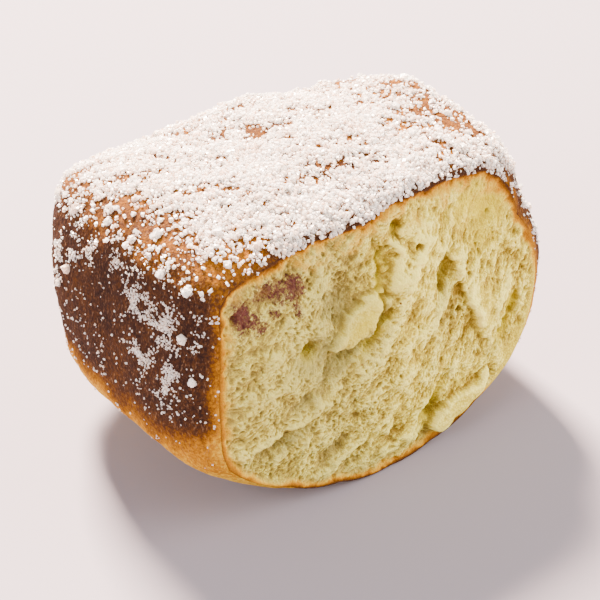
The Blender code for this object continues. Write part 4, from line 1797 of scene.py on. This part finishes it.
@dataclass
class Scatter:
    """Geometry node tree that strews crystals over a masked surface or on given points."""

    name: str
    on_points: bool = False
    tree: bpy.types.NodeTree = field(init=False)
    sockets: dict[str, str] = field(init=False, default_factory=dict)

    LOWEST = -0.0001
    INPUTS = (
        ("Mask", "NodeSocketString"),
        ("Grains per square metre", "NodeSocketFloat"),
        ("Seed", "NodeSocketInt"),
        ("Smallest", "NodeSocketFloat"),
        ("Largest", "NodeSocketFloat"),
        ("Lift", "NodeSocketFloat"),
        ("Crystals", "NodeSocketCollection"),
        ("Material", "NodeSocketMaterial"),
    )

    def __post_init__(self) -> None:
        """Builds the tree."""
        self.tree = bpy.data.node_groups.new(self.name, "GeometryNodeTree")
        face = self.tree.interface
        face.new_socket("Geometry", in_out="INPUT", socket_type="NodeSocketGeometry")
        for label, kind in self.INPUTS:
            made = face.new_socket(label, in_out="INPUT", socket_type=kind)
            self.sockets[label] = made.identifier
        face.new_socket("Geometry", in_out="OUTPUT", socket_type="NodeSocketGeometry")
        sheet = NodeSheet(self.tree)
        entry = sheet.add("NodeGroupInput").outputs
        if self.on_points:
            points, scale = entry["Geometry"], self.named(sheet, "size")
        else:
            points, scale = self.strew(sheet, entry)
        self.dress(sheet, entry, points, scale)

    def named(self, sheet: NodeSheet, label: object) -> Socket:
        """Value of a named attribute."""
        node = sheet.add("GeometryNodeInputNamedAttribute", {"Name": label}, data_type="FLOAT")
        return node.outputs["Attribute"]

    def strew(self, sheet: NodeSheet, entry: bpy.types.NodeOutputs) -> tuple[Socket, Socket]:
        """Points spread by the mask and lifted along the surface's own direction.

        Args:
            sheet: Sheet of the tree.
            entry: The tree's inputs.

        Returns:
            The points and their scale.
        """
        mask = self.named(sheet, entry["Mask"])
        feeds = {
            "Mesh": entry["Geometry"],
            "Density": sheet.times(mask, entry["Grains per square metre"]),
            "Seed": entry["Seed"],
        }
        grains = sheet.add("GeometryNodeDistributePointsOnFaces", feeds).outputs
        height = sheet.chance("FLOAT", 3, self.LOWEST, entry["Lift"])
        feeds = {"Vector": grains["Normal"], "Scale": height}
        offset = sheet.add("ShaderNodeVectorMath", feeds, operation="SCALE").outputs[0]
        feeds = {"Geometry": grains["Points"], "Offset": offset}
        moved = sheet.add("GeometryNodeSetPosition", feeds).outputs["Geometry"]
        return moved, sheet.chance("FLOAT", 4, entry["Smallest"], entry["Largest"])

    def dress(
        self, sheet: NodeSheet, entry: bpy.types.NodeOutputs, points: Socket, scale: Socket
    ) -> None:
        """Crystals on the points, turned at random, made real and given their material.

        Args:
            sheet: Sheet of the tree.
            entry: The tree's inputs.
            points: The points.
            scale: Scale at each point.
        """
        feeds = {"Collection": entry["Crystals"], "Separate Children": True, "Reset Children": True}
        choice = sheet.add("GeometryNodeCollectionInfo", feeds).outputs[0]
        feeds = {
            "Points": points,
            "Instance": choice,
            "Pick Instance": True,
            "Instance Index": sheet.chance("INT", 2, 0, 100),
            "Rotation": sheet.chance("FLOAT_VECTOR", 1, (0.0,) * 3, (2 * math.pi,) * 3),
            "Scale": scale,
        }
        grains = sheet.add("GeometryNodeInstanceOnPoints", feeds).outputs["Instances"]
        tone = sheet.chance("FLOAT", 5, 0.0, 1.0)
        stored = sheet.add(
            "GeometryNodeStoreNamedAttribute",
            {"Geometry": grains, "Name": "grain", "Value": tone},
            data_type="FLOAT",
            domain="INSTANCE",
        )
        feeds = {"Geometry": stored.outputs["Geometry"]}
        real = sheet.add("GeometryNodeRealizeInstances", feeds).outputs["Geometry"]
        feeds = {"Geometry": real, "Material": entry["Material"]}
        painted = sheet.add("GeometryNodeSetMaterial", feeds).outputs["Geometry"]
        sheet.add("NodeGroupOutput", {"Geometry": painted})

    def spread(
        self, name: str, base: bpy.types.Mesh, values: dict[str, object]
    ) -> bpy.types.Object:
        """Plain mesh of the crystals over a base mesh.

        Args:
            name: Name of the new object.
            base: Mesh that carries the mask or the points.
            values: Value for each named input.

        Returns:
            The object, with no modifier left on it.
        """
        made = bpy.data.objects.new(name, base)
        bpy.context.scene.collection.objects.link(made)
        modifier = made.modifiers.new("strew", "NODES")
        modifier.node_group = self.tree
        for label, value in values.items():
            modifier[self.sockets[label]] = value
        bpy.context.view_layer.update()
        graph = bpy.context.evaluated_depsgraph_get()
        finished = bpy.data.meshes.new_from_object(made.evaluated_get(graph))
        finished.name = name
        made.modifiers.clear()
        made.data = finished
        return made


@dataclass
class SugarCoat:
    """All the sugar: scattered grains of four kinds, and the lumps that the solid has too."""

    form: BunForm
    finish: SugarFinish
    lumps: int = 112
    lump_largest: float = 2.7
    lump_smallest: float = 1.6
    lump_gap: float = 7.5
    lump_stand: float = 0.05
    lump_seed: int = 23
    lump_draws: int = 9000
    gap_easing: float = 0.9

    def share(self, place: Array, up: Array) -> Array:
        """How much of the crust the lumps' own rule covers.

        Args:
            place: Points in millimetres.
            up: How much each one faces up.

        Returns:
            Share from 0 to 1.
        """
        top = ease((up - 0.3) / 0.4)
        patch = ease((value_noise(place[:, 1], place[:, 2], 13.0, self.lump_seed) - 0.1) / 0.4)
        return np.maximum(top, 0.5 * patch * ease((place[:, 2] - 24.0) / 22.0))

    def lump_spots(self) -> tuple[Array, Array]:
        """Finds the lumps by the solid's seeded rule, largest first.

        Returns:
            Their centres and their sizes.
        """
        random = np.random.default_rng(self.lump_seed)
        angle = random.uniform(0.0, 2 * math.pi, self.lump_draws)
        reach = np.maximum(np.abs(np.cos(angle)), np.abs(np.sin(angle)))
        across, upward = np.cos(angle) / reach, np.sin(angle) / reach
        depth = random.uniform(0.02, 0.9, len(angle))
        place, outward = self.form.skin_normal(across, upward, depth)
        share = self.share(place, outward[:, 2])
        wanted = np.nonzero(random.uniform(size=len(angle)) < share)[0]
        sizes = np.linspace(self.lump_largest, self.lump_smallest, self.lumps)
        kept: list[int] = []
        gap = self.lump_gap
        while len(kept) < self.lumps:
            for index in wanted:
                if len(kept) == self.lumps:
                    break
                if kept and np.linalg.norm(place[kept] - place[index], axis=1).min() < gap:
                    continue
                kept.append(index)
            gap *= self.gap_easing
        return place[kept] + outward[kept] * sizes[:, None] * self.lump_stand, sizes

    def covered_area(self, mesh: bpy.types.Mesh, label: str) -> float:
        """Area of a mesh in square metres, weighted by a mask.

        Args:
            mesh: The mesh.
            label: Name of the mask.

        Returns:
            The weighted area.
        """
        values = np.zeros(len(mesh.vertices), np.float32)
        mesh.attributes[label].data.foreach_get("value", values)
        areas = np.zeros(len(mesh.polygons), np.float32)
        mesh.polygons.foreach_get("area", areas)
        firsts = np.array([face.vertices[0] for face in mesh.polygons])
        return float((areas * values[firsts]).sum())

    def build(self, crust: bpy.types.Object) -> None:
        """Makes every piece of sugar and ties it to the frame.

        Args:
            crust: The crust that carries the masks.
        """
        material = self.finish.material()
        crystals = Crystals("crystal").collection()
        scatter = Scatter("strewn_sugar")
        for kind in SugarKind:
            grains = kind.value
            area = self.covered_area(crust.data, grains.mask)
            values = {
                "Mask": grains.mask,
                "Grains per square metre": grains.count / area,
                "Seed": grains.seed,
                "Smallest": grains.smallest,
                "Largest": grains.largest,
                "Lift": grains.lift * MM,
                "Crystals": crystals,
                "Material": material,
            }
            hand_over(scatter.spread(grains.name, crust.data, values), material)
        hand_over(self.build_lumps(material), material)

    def build_lumps(self, material: bpy.types.Material) -> bpy.types.Object:
        """Clumps of crystals where the solid has its lumps.

        Args:
            material: The crystals' material.

        Returns:
            All of them as one piece.
        """
        centres, sizes = self.lump_spots()
        points = bpy.data.meshes.new("lump_spots")
        points.from_pydata(self.form.set_down(centres).tolist(), [], [])
        layer = points.attributes.new("size", "FLOAT", "POINT")
        layer.data.foreach_set("value", sizes.astype(np.float32))
        values = {"Crystals": Clumps("clump").collection(), "Material": material}
        return Scatter("placed_lumps", on_points=True).spread("sugar_lumps", points, values)


@dataclass
class Studio:
    """Plain floor, soft light and the camera."""

    azimuth: float = -37.74
    elevation: float = 35.19
    distance: float = 0.405
    target: Point3 = (0.0, 0.0027, 0.0218)
    lens: float = 116.1
    shift: Point2 = (0.0284, -0.0084)
    floor_half: float = 3.0
    floor_colour: Colour = (0.24, 0.205, 0.235, 1.0)
    surround_colour: Colour = (1.0, 0.95, 0.95, 1.0)
    surround_strength: float = 0.8
    lamps: tuple[tuple[str, Point3, float, float, Point3], ...] = (
        ("key", (0.32, 1.08, 1.18), 0.35, 500.0, (1.0, 0.80, 0.66)),
        ("side", (-0.80, -0.10, 0.50), 0.5, 13.0, (1.0, 0.95, 0.92)),
        ("fill", (0.75, -0.70, 0.50), 0.8, 34.0, (1.0, 0.95, 0.88)),
    )

    def floor(self) -> None:
        """Plain floor, which isn't a piece of the bun."""
        half = self.floor_half
        corners = [(-half, -half, 0.0), (half, -half, 0.0), (half, half, 0.0), (-half, half, 0.0)]
        mesh = bpy.data.meshes.new("floor")
        mesh.from_pydata(corners, [], [(0, 1, 2, 3)])
        floor = bpy.data.objects.new("floor", mesh)
        bpy.context.scene.collection.objects.link(floor)
        made, sheet, shader = new_material("floor")
        sheet.fill(shader, {"Base Color": self.floor_colour, "Roughness": 0.85})
        mesh.materials.append(made)

    def lamp(self, name: str, place: Point3, size: float, power: float, tint: Point3) -> None:
        """Square soft light that points at the bun.

        Args:
            name: Name of the light.
            place: Where it stands, in metres.
            size: Length of its side.
            power: Power in watts.
            tint: Its colour.
        """
        light = bpy.data.lights.new(name, "AREA")
        light.size = size
        light.energy = power
        light.color = tint
        lamp = bpy.data.objects.new(name, light)
        lamp.location = place
        aim = Vector(self.target) - Vector(place)
        lamp.rotation_euler = aim.to_track_quat("-Z", "Y").to_euler()
        bpy.context.scene.collection.objects.link(lamp)

    def light(self) -> None:
        """Key from behind, broad fill from the front, pale surroundings."""
        for lamp in self.lamps:
            self.lamp(*lamp)
        world = bpy.data.worlds.new("studio")
        world.use_nodes = True
        surround = world.node_tree.nodes["Background"]
        surround.inputs["Color"].default_value = self.surround_colour
        surround.inputs["Strength"].default_value = self.surround_strength
        bpy.context.scene.world = world

    def camera(self) -> None:
        """Camera at the photograph's angle."""
        turn, rise = math.radians(self.azimuth), math.radians(self.elevation)
        flat = math.cos(rise)
        back = Vector((math.sin(turn) * flat, -math.cos(turn) * flat, math.sin(rise)))
        lens = bpy.data.cameras.new("camera")
        lens.lens = self.lens
        lens.shift_x, lens.shift_y = self.shift
        camera = bpy.data.objects.new("camera", lens)
        camera.location = Vector(self.target) + back * self.distance
        camera.rotation_euler = (-back).to_track_quat("-Z", "Y").to_euler()
        bpy.context.scene.collection.objects.link(camera)
        bpy.context.scene.camera = camera


def main() -> None:
    """Builds every piece, dresses it and sets up the studio."""
    logging.basicConfig(level=logging.INFO, format="%(name)s %(message)s")
    form = BunForm()
    browning, granules = Browning(), Granules()
    crust = Crust(form, SugarCover()).build()
    hand_over(crust, CrustFinish(browning, granules).material())
    hand_over(Crumb(form).build(), CrumbFinish(browning, granules).material())
    SugarCoat(form, SugarFinish()).build(crust)
    studio = Studio()
    studio.floor()
    studio.light()
    studio.camera()


if __name__ == "__main__":
    main()
